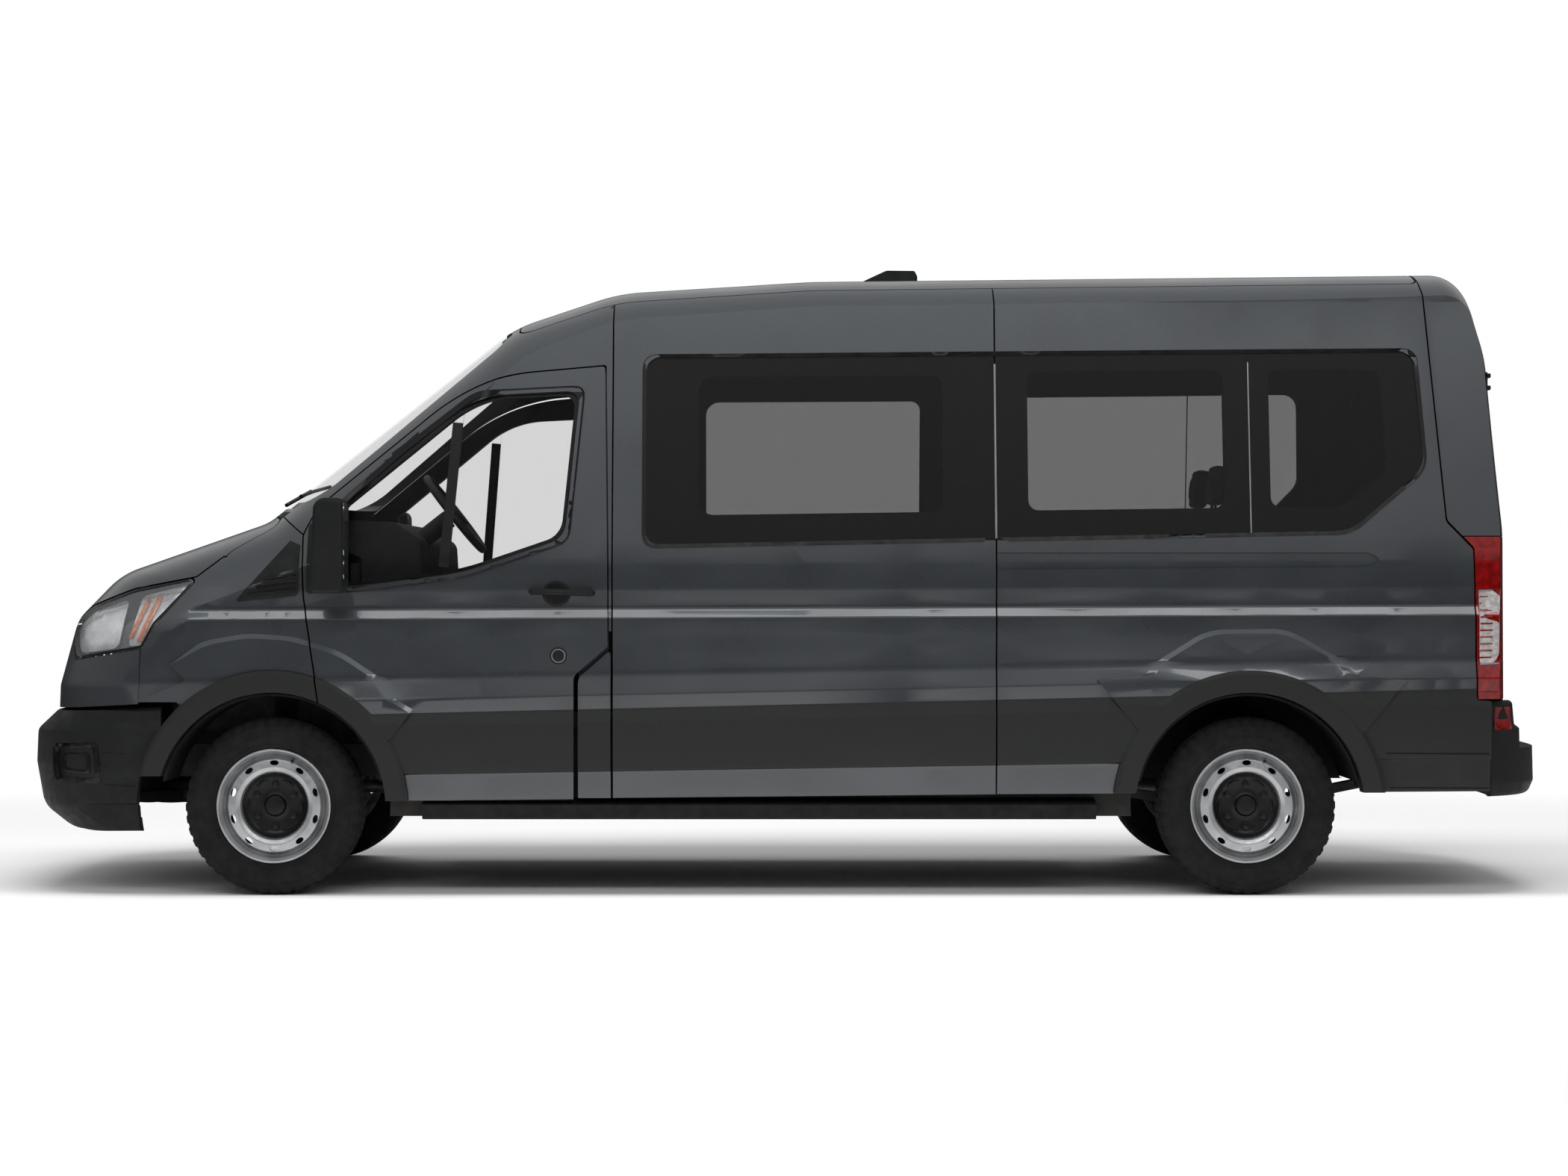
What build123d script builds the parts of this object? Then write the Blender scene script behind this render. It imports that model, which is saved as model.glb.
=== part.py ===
from build123d import *
import math
import os

# Passenger van, in millimetres. +X runs to the rear, +Y to the van's right side, +Z up.
# The origin is on the ground under the middle of the whole van.
os.makedirs("parts", exist_ok=True)

# Driving dimensions
WHEELBASE = 3750
FRONT_OVERHANG = 1023
REAR_OVERHANG = 1208
BODY_WIDTH = 2060
ROOF_HEIGHT = 2438
TRACK = 1732
TYRE_RADIUS = 342
TYRE_WIDTH = 235
RIM_RADIUS = 221
PANEL = 55
SHUT_GAP = 6
GLASS = 7
GLASS_SINK = 2
ARCH_RADIUS = 439
FLARE_RADIUS = 523
FLOOR_Z = 690
FLOOR_THICKNESS = 50
STEER_AXIS_Y = 790
SEAT_WIDTH = 480

# Places that follow from them
FRONT_AXLE_X = FRONT_OVERHANG - (FRONT_OVERHANG + WHEELBASE + REAR_OVERHANG) / 2
REAR_AXLE_X = FRONT_AXLE_X + WHEELBASE
WHEEL_Y = TRACK / 2

# The tables below measure x from the middle of a 3750 wheelbase, half widths on a body 2060
# wide and heights on a roof 2438 high. These three functions carry them to this van's sizes.
TABLE_AXLE_X = 1875
CAB_END_X = -560
TAIL_START_X = 1300
TABLE_WIDTH = 2060
TABLE_ROOF = 2438
BELT_Z = 1380


def at_x(x):
    front = FRONT_AXLE_X + TABLE_AXLE_X
    rear = REAR_AXLE_X - TABLE_AXLE_X
    share = (x - CAB_END_X) / (TAIL_START_X - CAB_END_X)
    share = max(0, min(1, share))
    return x + front + (rear - front) * share


def at_y(y):
    return y * BODY_WIDTH / TABLE_WIDTH


def at_z(z):
    if z <= BELT_Z:
        return z
    return BELT_Z + (z - BELT_Z) * (ROOF_HEIGHT - BELT_Z) / (TABLE_ROOF - BELT_Z)


# Outlines

def rounded_edges(points, radii):
    """Edges of a closed outline through 3-D points, each corner an arc of its own radius."""
    corners = [Vector(*p) for p in points]
    count = len(corners)
    arcs = []
    for i, corner in enumerate(corners):
        before = (corners[i - 1] - corner).normalized()
        after = (corners[(i + 1) % count] - corner).normalized()
        half = math.radians(before.get_angle(after)) / 2
        if radii[i] <= 0:
            arcs.append(None)
            continue
        reach = radii[i] / math.tan(half)
        middle = (before + after).normalized()
        depth = radii[i] / math.sin(half) - radii[i]
        arcs.append((corner + before * reach, corner + middle * depth, corner + after * reach))
    edges = []
    for i, arc in enumerate(arcs):
        if arc:
            edges.append(Edge.make_three_point_arc(*arc))
        following = arcs[(i + 1) % count]
        start = arc[2] if arc else corners[i]
        end = following[0] if following else corners[(i + 1) % count]
        edges.append(Edge.make_line(start, end))
    return edges


def inset_corners(corners, insets):
    """Moves each edge of a polygon inward by its own distance and returns the new corners."""
    count = len(corners)
    area = sum(corners[i - 1][0] * corners[i][1] - corners[i][0] * corners[i - 1][1] for i in range(count))
    side = 1 if area > 0 else -1
    lines = []
    for i in range(count):
        u0, v0 = corners[i]
        u1, v1 = corners[(i + 1) % count]
        length = math.hypot(u1 - u0, v1 - v0)
        du = (u1 - u0) / length
        dv = (v1 - v0) / length
        lines.append((u0 - dv * side * insets[i], v0 + du * side * insets[i], du, dv))
    moved = []
    for i in range(count):
        u0, v0, du0, dv0 = lines[i - 1]
        u1, v1, du1, dv1 = lines[i]
        cross = du0 * dv1 - dv0 * du1
        if abs(cross) < 0.02:
            moved.append((corners[i][0] - dv1 * side * insets[i], corners[i][1] + du1 * side * insets[i]))
            continue
        t = ((u1 - u0) * dv1 - (v1 - v0) * du1) / cross
        moved.append((u0 + du0 * t, v0 + dv0 * t))
    return moved


def side_points(table):
    """A side view table of x, z, corner radius, carried to this van's sizes."""
    return [(at_x(x), at_z(z), r) for x, z, r in table]


def end_points(table):
    """An end view table of y, z, corner radius, carried to this van's sizes."""
    return [(at_y(y), at_z(z), r) for y, z, r in table]


def side_wire(points, y):
    return Wire(rounded_edges([(u, y, v) for u, v, r in points], [p[2] for p in points]))


def side_prism(points, y0, y1, grow=0.0, taper=None):
    """Prism across the van between y0 and y1, of a side outline grown by a distance. taper gives
    for each edge how far it has moved inward at y1."""
    corners = inset_corners([p[:2] for p in points], [-grow] * len(points))
    first = [(u, v, p[2]) for (u, v), p in zip(corners, points)]
    if taper is None:
        return extrude(Face(side_wire(first, y0)), amount=abs(y1 - y0), dir=(0, math.copysign(1, y1 - y0), 0))
    corners = inset_corners(corners, taper)
    second = [(u, v, p[2]) for (u, v), p in zip(corners, points)]
    return Solid.make_loft([side_wire(first, y0), side_wire(second, y1)], ruled=True)


def end_prism(points, x0, x1, grow=0.0):
    """Prism along the van between x0 and x1, of an end view outline grown by a distance."""
    corners = inset_corners([p[:2] for p in points], [-grow] * len(points))
    wire = Wire(rounded_edges([(x0, u, v) for u, v in corners], [p[2] for p in points]))
    return extrude(Face(wire), amount=x1 - x0, dir=(1, 0, 0))


def plan_prism(points, z0, z1, grow=0.0):
    """Upright prism between z0 and z1, of a plan outline of x, y, radius, grown by a distance."""
    corners = inset_corners([p[:2] for p in points], [-grow] * len(points))
    wire = Wire(rounded_edges([(u, v, z0) for u, v in corners], [p[2] for p in points]))
    return extrude(Face(wire), amount=z1 - z0, dir=(0, 0, 1))


def box(x0, x1, y0, y1, z0, z1):
    return Pos((x0 + x1) / 2, (y0 + y1) / 2, (z0 + z1) / 2) * Box(x1 - x0, y1 - y0, z1 - z0)


def disc(x, z, radius, y0, y1):
    """Round bar across the van."""
    return Pos(x, (y0 + y1) / 2, z) * Rot(90, 0, 0) * Cylinder(radius, abs(y1 - y0))


def mirrored(shape):
    return mirror(shape, about=Plane.XZ)


# Body surface: a tube of cross sections, met by a slab of side profiles

SIDE_SECTION = [
    # half width, z at the front axle, z at the rear axle, corner radius
    (955, 200, 200, 0),
    (972, 350, 388, 8),
    (998, 360, 398, 8),
    (1006, 456, 515, 5),
    (1017, 464, 523, 6),
    (1024, 640, 718, 14),
    (1013, 684, 770, 8),
    (1020, 745, 825, 20),
    (1005, 830, 900, 120),
    (1015, 985, 1000, 0),
    (1022, 1060, 1075, 30),
    (1006, 1100, 1115, 40),
    (1017, 1180, 1190, 150),
    (1015, 1270, 1285, 0),
    (1004, 1345, 1372, 25),
    (868, 2280, 2290, 0),
    (840, 2620, 2640, 0),
]
STATIONS = [
    # x, change of half width
    (-2950, -120),
    (-1967, -10),
    (-983, 0),
    (0, 2),
    (983, 2),
    (1967, -2),
    (2950, -30),
]
BODY_PROFILE = [
    # x, z, half width, retreat of x at that half width, drop of z there, corner radius
    (-2812, 300, 1000, 300, 0, 0),
    (-2805, 800, 1000, 420, 0, 60),
    (-2735, 1060, 980, 400, 10, 150),
    (-2560, 1240, 940, 330, 40, 300),
    (-1960, 1450, 960, 160, 110, 200),
    (-980, 2225, 880, 60, 130, 500),
    (-560, 2365, 868, 0, 140, 700),
    (200, 2412, 868, 0, 140, 2500),
    (2735, 2438, 868, 0, 140, 120),
    (2850, 2080, 900, -60, 0, 600),
    (2900, 1400, 1000, -60, 0, 800),
    (2905, 300, 1000, -60, 0, 0),
]
RIB_COUNT = 8
RIB_SPACING = 132.5
SLAB_NOSE_X = -2812
SLAB_TAIL_X = 2905
SLAB_BASE_Z = 100


def retreat(share):
    """Plan curve of the nose and crown: flat in the middle and round near the corners."""
    if share < 1:
        return 0.2 * share**2 + 0.8 * share**8
    return 1 + 6.8 * (share - 1)


def body_tube():
    """Left half of the tube that the body sides are cut from."""
    wires = []
    for x, change in STATIONS:
        share = max(-0.3, min(1.15, (x + TABLE_AXLE_X) / (2 * TABLE_AXLE_X)))
        half = [(-at_y(w + change), at_z(zf + (zr - zf) * share), r) for w, zf, zr, r in SIDE_SECTION]
        whole = [(0, half[0][1], 0)] + half + [(0, half[-1][1], 0)]
        wires.append(Wire(rounded_edges([(at_x(x), y, z) for y, z, r in whole], [r for y, z, r in whole])))
    return Solid.make_loft(wires, ruled=False)


def profile_slab(profile):
    """Slab across the van whose side outline retreats towards the corners."""
    wires = []
    for rib in range(-RIB_COUNT, 3):
        corners = []
        for x, z, w, dx, dz, r in profile:
            share = retreat(abs(rib * RIB_SPACING) / w)
            corners.append((at_x(x) + dx * share, at_y(rib * RIB_SPACING), at_z(z) - dz * share))
        wires.append(Wire(rounded_edges(corners, [p[5] for p in profile])))
    return Solid.make_loft(wires, ruled=False)


def shrunk(shape, inset):
    """The body shape made smaller all round by about a distance; it stays open at the middle."""
    length = at_x(SLAB_TAIL_X) - at_x(SLAB_NOSE_X)
    middle = (at_x(SLAB_TAIL_X) + at_x(SLAB_NOSE_X)) / 2
    height = ROOF_HEIGHT - SLAB_BASE_Z
    size = (1 - 2 * inset / length, 1 - 2 * inset / BODY_WIDTH, 1 - inset / height)
    return Pos(middle, 0, SLAB_BASE_Z) * scale(Pos(-middle, 0, -SLAB_BASE_Z) * shape, by=size)


TUBE = body_tube()
OUTER = TUBE & profile_slab(BODY_PROFILE)
INNER = shrunk(OUTER, PANEL)
SHELL = OUTER - INNER
FAR = 1200
SIDE_INSIDE_Y = 930
FLOOR_CLEARANCE = 4


B_SEAM_X = -569
C_SEAM_X = 905
FRONT_SHELL = SHELL & box(at_x(-3000), at_x(B_SEAM_X) - SHUT_GAP / 2, -FAR, 0, 0, 3000)
MID_SHELL = SHELL & box(at_x(B_SEAM_X) + SHUT_GAP / 2, at_x(C_SEAM_X) - SHUT_GAP / 2, -FAR, 0, 0, 3000)
REAR_SHELL = SHELL & box(at_x(C_SEAM_X) + SHUT_GAP / 2, at_x(3000), -FAR, 0, 0, 3000)


# Panel outlines, seen from the side as x, z, corner radius

DOOR = side_points([
    (-706, 366, 0),
    (-706, 838, 40),
    (-572, 955, 8),
    (-577, 2059, 10),
    (-1099, 2012, 740),
    (-1712, 1507, 90),
    (-1760, 1400, 60),
    (-1750, 1140, 300),
    (-1690, 720, 0),
    (-1560, 366, 0),
])
# How far each edge of the door has moved inward at its inner face, starting with the lower rear
DOOR_TAPER = [30, 30, 40, 30, 20, 12, 0, 0, 0, 0]
DOOR_WINDOW = side_points([
    (-752, 1373, 90),
    (-696, 1945, 45),
    (-1097, 1925, 400),
    (-1614, 1501, 25),
    (-1612, 1182, 30),
    (-1495, 1192, 60),
    (-1140, 1240, 900),
])
SIDE_GLASS = side_points([
    (-447, 1342, 60),
    (2270, 1395, 150),
    (2562, 1640, 150),
    (2532, 2102, 80),
    (-447, 2077, 70),
])
SILL_Z = 376
REAR_PANEL = side_points([
    (C_SEAM_X - 50, 391, 0),
    (2806, 400, 0),
    (2806, 748, 10),
    (2750, 752, 10),
    (2736, 1331, 20),
    (2634, 1437, 40),
    (2566, 2333, 300),
    (2560, 2700, 0),
    (C_SEAM_X - 50, 2700, 0),
])
REAR_CORNER = side_points([
    (2756, 756, 0),
    (2742, 1337, 20),
    (2640, 1443, 40),
    (2572, 2335, 300),
    (2566, 2700, 0),
    (3100, 2700, 0),
    (3100, 756, 0),
])
MID_PANEL = side_points([
    (B_SEAM_X - 50, SILL_Z, 0),
    (C_SEAM_X + 50, 391, 0),
    (C_SEAM_X + 50, 2700, 0),
    (B_SEAM_X - 50, 2700, 0),
])
CAB_ZONE = side_points([
    (B_SEAM_X + 50, 1000, 0),
    (B_SEAM_X + 50, 2700, 0),
    (-1200, 2700, 0),
    (-2050, 1800, 0),
    (-2050, 1480, 0),
    (-1862, 1465, 0),
    (-1740, 1374, 0),
    (-1600, 1300, 0),
])
POST_STRIP = side_points([
    (-700, SILL_Z, 0),
    (-700, 835, 40),
    (-575, 945, 8),
    (-575, SILL_Z, 0),
])
FENDER_ZONE = side_points([
    (-1600, 600, 0),
    (-1600, 1290, 0),
    (-1742, 1369, 0),
    (-1864, 1460, 0),
    (-1900, 1800, 0),
    (-2600, 1800, 0),
    (-2430, 1100, 0),
    (-2384, 952, 0),
    (-2391, 744, 0),
    (-2240, 744, 0),
    (-2100, 600, 0),
])
BONNET_LINE = [
    (-2709, 1041, 0),
    (-2627, 1114, 60),
    (-2430, 1182, 100),
    (-2176, 1228, 20),
    (-2078, 1306, 0),
]
BONNET_ZONE = side_points([(-2950, 1041, 0)] + BONNET_LINE + [(-1800, 1306, 0), (-1800, 1900, 0), (-2950, 1900, 0)])
BONNET_PLAN = [
    # x, half width, corner radius
    (-2950, 1100, 0),
    (-2115, 1100, 0),
    (-2070, 885, 60),
    (-1872, 800, 30),
    (-1995, 350, 300),
]
HEADLAMP = side_points([
    (-2712, 1034, 10),
    (-2627, 1106, 60),
    (-2430, 1174, 100),
    (-2166, 1222, 12),
    (-2330, 1040, 60),
    (-2379, 950, 12),
    (-2674, 903, 10),
])
FASCIA = side_points([
    (-2950, 702, 0),
    (-2392, 736, 0),
    (-2385, 1100, 0),
    (-2560, 1036, 0),
    (-2950, 1036, 0),
])


def both_sides(points):
    """Closes a plan or end outline given for one side with its mirror image."""
    return points + [(u, -v, r) for u, v, r in reversed(points)]


def plan_points(table):
    return [(at_x(x), at_y(y), r) for x, y, r in table]


ROOF_PLAN = both_sides(plan_points([(-940, 776, 60), (2560, 766, 30)]))
BONNET_OUTLINE = both_sides(plan_points(BONNET_PLAN))
WINDSCREEN = end_points([(-862, 1492, 70), (862, 1492, 70), (752, 2185, 110), (-752, 2185, 110)])
REAR_DOOR = end_points([(-5, 578, 0), (-858, 578, 20), (-858, 1390, 250), (-752, 2285, 70), (-5, 2300, 0)])
REAR_WINDOW = end_points([(-90, 1430, 60), (-770, 1430, 60), (-700, 2040, 70), (-90, 2050, 60)])
TAIL_LAMP_Y = 868
GRILLE_OPENING = end_points([(-470, 752, 30), (470, 752, 30), (560, 1012, 30), (-560, 1012, 30)])

DOOR_PRISM = side_prism(DOOR, -FAR, -700, 0, DOOR_TAPER)
DOOR_OPENING = side_prism(DOOR, -FAR, -700, SHUT_GAP, DOOR_TAPER)
REAR_DOOR_PRISM = end_prism(REAR_DOOR, at_x(2500), at_x(3100))
REAR_OPENING = end_prism(REAR_DOOR, at_x(2500), at_x(3100), SHUT_GAP)
ROOF_PRISM = plan_prism(ROOF_PLAN, 2000, 2700)
ROOF_OPENING = plan_prism(ROOF_PLAN, 2000, 2700, SHUT_GAP)
BONNET_PRISM = side_prism(BONNET_ZONE, -FAR, 10) & plan_prism(BONNET_OUTLINE, 900, 1700)
BONNET_OPENING = side_prism(BONNET_ZONE, -FAR, 10, SHUT_GAP) & plan_prism(BONNET_OUTLINE, 900, 1700, SHUT_GAP)
HEADLAMP_PRISM = side_prism(HEADLAMP, -FAR, -500)
COWL_BOX = box(at_x(-2060), at_x(-1600), -788, 0, 1200, 1480)


# Helpers for the body panels

def whole(half):
    """Joins a left half, cut at the middle plane, to its mirror image."""
    return half + mirrored(half)


def both(left):
    """The left piece and its mirror image as one node of solids that don't touch."""
    return Compound(left.solids() + mirrored(left).solids())


def skin(block, depth):
    """Outer layer of a left side block, of a depth measured across the van."""
    return block - Pos(0, depth, 0) * block


def less(shape, *cuts):
    for cut in cuts:
        shape = shape - cut
    return shape


def arch_cut(axle_x):
    return disc(axle_x, TYRE_RADIUS, ARCH_RADIUS, -600, -1100)


def flare(axle_x, bottom_z):
    """Black wheel arch lip of the left side: a half ring that stands out of the panel."""
    ring = disc(axle_x, TYRE_RADIUS, FLARE_RADIUS, -965, -BODY_WIDTH / 2)
    ring = chamfer(ring.edges().filter_by(GeomType.CIRCLE).sort_by(Axis.Y)[0], 9, 14)
    return less(ring, arch_cut(axle_x), box(axle_x - 700, axle_x + 700, -1100, -900, -300, bottom_z))


def blister(crest, taper):
    """Raised area of the left side over a wheel arch, with a sloping upper edge."""
    rim_y = BODY_WIDTH / 2 - 1
    prism = side_prism(side_points(crest), -BLISTER_FOOT_Y, -rim_y, 0, taper)
    return (Pos(0, -BLISTER, 0) * TUBE) & prism


BLISTER = 11
BLISTER_FOOT_Y = 996
FRONT_CREST = [
    # x, z, corner radius of the blister's foot over the front wheel
    (-2300, 600, 0),
    (-2460, 742, 0),
    (-2137, 985, 260),
    (-1971, 1030, 300),
    (-1792, 1024, 300),
    (-1600, 962, 300),
    (-1310, 742, 0),
    (-1420, 600, 0),
]
REAR_CREST = [
    (1480, 600, 0),
    (1290, 830, 0),
    (1410, 840, 120),
    (1700, 1062, 200),
    (2030, 1062, 200),
    (2340, 840, 120),
    (2480, 830, 0),
    (2290, 600, 0),
]
FRONT_CREST_TAPER = [0, 62, 62, 62, 62, 62, 0, 0]
REAR_CREST_TAPER = [0, 0, 62, 62, 62, 0, 0, 0]
FRONT_BLISTER = blister(FRONT_CREST, FRONT_CREST_TAPER)
REAR_BLISTER = blister(REAR_CREST, REAR_CREST_TAPER)


def largest(shape, count=1):
    """The biggest solids of a shape, without the chips that cutting leaves."""
    solids = sorted(shape.solids(), key=lambda s: -s.volume)[:count]
    return solids[0] if count == 1 else Compound(solids)


NODES = {}


def save(name, shape, with_face_curves=False):
    """Keeps a piece and writes its file, which is half the size without its curves on faces."""
    NODES[name] = shape
    export_step(shape, f"parts/{name}.step", write_pcurves=with_face_curves)


# Side panels and their glass

CLEAR_MID = side_points([(-240, 1462, 60), (703, 1475, 40), (703, 2005, 40), (-240, 2000, 60)])
CLEAR_REAR_FRONT = side_points([(1030, 1480, 40), (1788, 1490, 40), (1788, 2028, 40), (1030, 2020, 40)])
CLEAR_REAR_BACK = side_points([
    (1963, 1492, 40),
    (2240, 1492, 60),
    (2420, 1640, 80),
    (2400, 2030, 60),
    (1963, 2028, 40),
])
CLEAR_REAR_WIDE = side_points([
    (1030, 1480, 40),
    (2230, 1492, 60),
    (2373, 1640, 80),
    (2360, 2033, 60),
    (1030, 2020, 40),
])
REAR_PANE_X = 1884
BAND_BLOCK = TUBE & side_prism(SIDE_GLASS, -FAR, -600)
BAND_CUT = skin(BAND_BLOCK, GLASS_SINK + GLASS)
PANE_BLOCK = Pos(0, GLASS_SINK, 0) * (TUBE & side_prism(SIDE_GLASS, -FAR, -600, -3))
PANES = skin(PANE_BLOCK, GLASS - 0.5)


def mid_panel():
    panel = MID_SHELL & side_prism(MID_PANEL, -FAR, 0)
    return largest(less(panel, ROOF_OPENING, BAND_CUT, side_prism(CLEAR_MID, -FAR, -600)))


SWAGE = side_points([(C_SEAM_X - 40, 1252, 0), (2330, 1262, 30), (2390, 1290, 14), (2330, 1318, 30), (C_SEAM_X - 40, 1318, 0)])
SWAGE_DEPTH = 6


def quarter_panel():
    """Left rear side panel with its wheel arch lip, before its windows are opened."""
    panel = (REAR_SHELL & side_prism(REAR_PANEL, -FAR, 0)) + REAR_BLISTER
    groove = skin(TUBE & side_prism(SWAGE, -FAR, -700), SWAGE_DEPTH)
    panel = less(panel, ROOF_OPENING, BAND_CUT, groove, arch_cut(REAR_AXLE_X))
    return largest(panel + flare(REAR_AXLE_X, 398))


def with_openings(panel, outlines):
    return less(panel, *[side_prism(outline, -FAR, -600) for outline in outlines])


def side_glass():
    """Three panes on each side, flush with the panels and with thin gaps between them."""
    ends = [at_x(-1000), at_x(C_SEAM_X), at_x(REAR_PANE_X), at_x(3000)]
    panes = [PANES & box(x0 + 2, x1 - 2, -FAR, 0, 0, 3000) for x0, x1 in zip(ends, ends[1:])]
    return both(Compound([pane.solids()[0] for pane in panes]))


MID = mid_panel()
save("left_side_panel", MID)
save("sliding_door", mirrored(MID))
QUARTER = quarter_panel()
save("left_quarter_panel", with_openings(QUARTER, [CLEAR_REAR_FRONT, CLEAR_REAR_BACK]))
save("right_quarter_panel", mirrored(with_openings(QUARTER, [CLEAR_REAR_WIDE])))
save("side_glass", side_glass())


# Front doors

DOOR_GLASS_SINK = 12
DOOR_GLASS_BLOCK = TUBE & side_prism(DOOR_WINDOW, -FAR, -600, -1)
DOOR_RECESS = skin(TUBE & side_prism(DOOR_WINDOW, -FAR, -600), DOOR_GLASS_SINK + 6)


def front_door():
    panel = (FRONT_SHELL & DOOR_PRISM) + (FRONT_BLISTER & DOOR_PRISM)
    panel = panel - arch_cut(FRONT_AXLE_X)
    panel = panel + (flare(FRONT_AXLE_X, 366) & DOOR_PRISM)
    return largest(less(panel, DOOR_RECESS, side_prism(DOOR_WINDOW, -FAR, -600, -16)))


def front_door_glass():
    return Pos(0, DOOR_GLASS_SINK, 0) * skin(DOOR_GLASS_BLOCK, 5)


MIRROR_HEAD = [
    # x, z, corner radius: the head seen from the front is a tall rounded block
    (-1705, 1161, 30),
    (-1574, 1161, 30),
    (-1574, 1523, 30),
    (-1686, 1523, 45),
]


def door_mirror():
    """Tall door mirror: a rounded head on a short arm from the front corner of the window."""
    head = side_prism(side_points(MIRROR_HEAD), -1237, -1045)
    head = fillet(head.edges().filter_by(Plane.XZ), 18)
    arm = box(at_x(-1690), at_x(-1610), -1060, -985, 1190, 1290)
    return (head + arm) - TUBE


DOOR_LEFT = front_door()
DOOR_GLASS_LEFT = largest(front_door_glass())
MIRROR_LEFT = largest(door_mirror())
save("left_front_door", DOOR_LEFT)
save("right_front_door", mirrored(DOOR_LEFT))
save("left_front_door_glass", DOOR_GLASS_LEFT)
save("right_front_door_glass", mirrored(DOOR_GLASS_LEFT))
save("left_mirror", MIRROR_LEFT)
save("right_mirror", mirrored(MIRROR_LEFT))


# Nose, bonnet and cab frame

def fender():
    panel = (FRONT_SHELL + FRONT_BLISTER) & side_prism(FENDER_ZONE, -FAR, -300)
    panel = less(panel, DOOR_OPENING, BONNET_OPENING, arch_cut(FRONT_AXLE_X), COWL_BOX)
    lip = less(flare(FRONT_AXLE_X, 461), DOOR_OPENING, box(FRONT_AXLE_X, 0, -1100, -900, 0, 740))
    return largest((panel + lip) - side_prism(HEADLAMP, -FAR, -300, 3))


def cab_frame():
    """Windscreen frame, cant rails over the doors and the posts behind them, left half."""
    frame = FRONT_SHELL & side_prism(CAB_ZONE, -FAR, 0)
    frame = less(frame, DOOR_OPENING, ROOF_OPENING, BONNET_OPENING, COWL_BOX, WINDSCREEN_CUT, WINDSCREEN_OPENING)
    block = TUBE & box(at_x(-700), at_x(-575), -FAR, -700, SILL_Z - 20, POST_TOP)
    post = Pos(0, PANEL + 16, 0) * block - Pos(0, POST_DEPTH, 0) * block
    post = post & box(at_x(-700), at_x(-585), -FAR, 0, FLOOR_Z, POST_TOP)
    ends = Pos(0, PANEL - 20, 0) * block - Pos(0, POST_DEPTH, 0) * block
    top = ends & box(at_x(-700), at_x(-585), -FAR, 0, POST_TOP - 120, POST_TOP)
    strip = skin(block, PANEL + 30) & side_prism(POST_STRIP, -FAR, -700)
    strip = strip - box(at_x(-720), at_x(-560), -SIDE_INSIDE_Y - FLOOR_CLEARANCE, 0, 0, FLOOR_Z)
    return frame + post + top + strip


POST_DEPTH = PANEL + 50
POST_TOP = 2195
GLASS_LEAN = math.radians(38.3)
GLASS_RUN = 1 / math.sin(GLASS_LEAN)


def sunk(block, depth):
    """The block moved along the van, so that its sloping screen surface sinks by a depth."""
    return Pos(depth * GLASS_RUN, 0, 0) * block


SCREEN_BLOCK = FRONT_SHELL & end_prism(WINDSCREEN, at_x(-2300), at_x(-900))
WINDSCREEN_CUT = SCREEN_BLOCK - sunk(SCREEN_BLOCK, 10)
WINDSCREEN_OPENING = end_prism(WINDSCREEN, at_x(-2300), at_x(-900), -25)
SCREEN = sunk(SCREEN_BLOCK, GLASS_SINK) - sunk(SCREEN_BLOCK, GLASS_SINK + GLASS)
SCREEN = SCREEN & end_prism(WINDSCREEN, at_x(-2300), at_x(-900), -3)

FENDER_LEFT = fender()
save("bonnet", whole(FRONT_SHELL & BONNET_PRISM))
save("left_fender", FENDER_LEFT)
save("right_fender", mirrored(FENDER_LEFT))
save("cab_frame", whole(cab_frame()))
save("windscreen", whole(largest(SCREEN)))
save("cowl_panel", whole(largest((FRONT_SHELL & COWL_BOX) - BONNET_OPENING)))
save("headlamps", both(largest(FRONT_SHELL & HEADLAMP_PRISM)))
save("front_fascia", whole(largest(less(
    FRONT_SHELL & side_prism(FASCIA, -FAR, 0),
    side_prism(HEADLAMP, -FAR, -497, 3),
    end_prism(GRILLE_OPENING, at_x(-3000), at_x(-2300)),
))))


FRONT_BUMPER_PROFILE = [
    # x, z, half width, retreat of x at that half width, drop of z there, corner radius
    (-2250, 226, 1000, 0, -40, 0),
    (-2740, 228, 1000, 400, -30, 160),
    (-2868, 330, 1000, 420, 0, 100),
    (-2898, 500, 1000, 420, 0, 60),
    (-2893, 628, 1000, 420, 0, 40),
    (-2812, 702, 1000, 400, -12, 15),
    (-2250, 728, 1000, 0, -12, 0),
]
REAR_BUMPER_PROFILE = [
    (2500, 362, 1000, 0, 0, 0),
    (3060, 380, 1000, -330, 0, 30),
    (3083, 430, 1000, -340, 0, 20),
    (3078, 640, 1000, -340, 0, 12),
    (3058, 655, 1000, -340, 0, 8),
    (3050, 748, 1000, -340, 0, 20),
    (2500, 748, 1000, 0, 0, 0),
]


FOG_DEPTH = 30


HOLLOW_PLAN = [
    # x, y: inside of the front bumper seen from above
    (-2700, 0),
    (-2700, -700),
    (-2640, -790),
    (-2540, -860),
    (-2200, -860),
    (-2200, 0),
]


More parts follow.
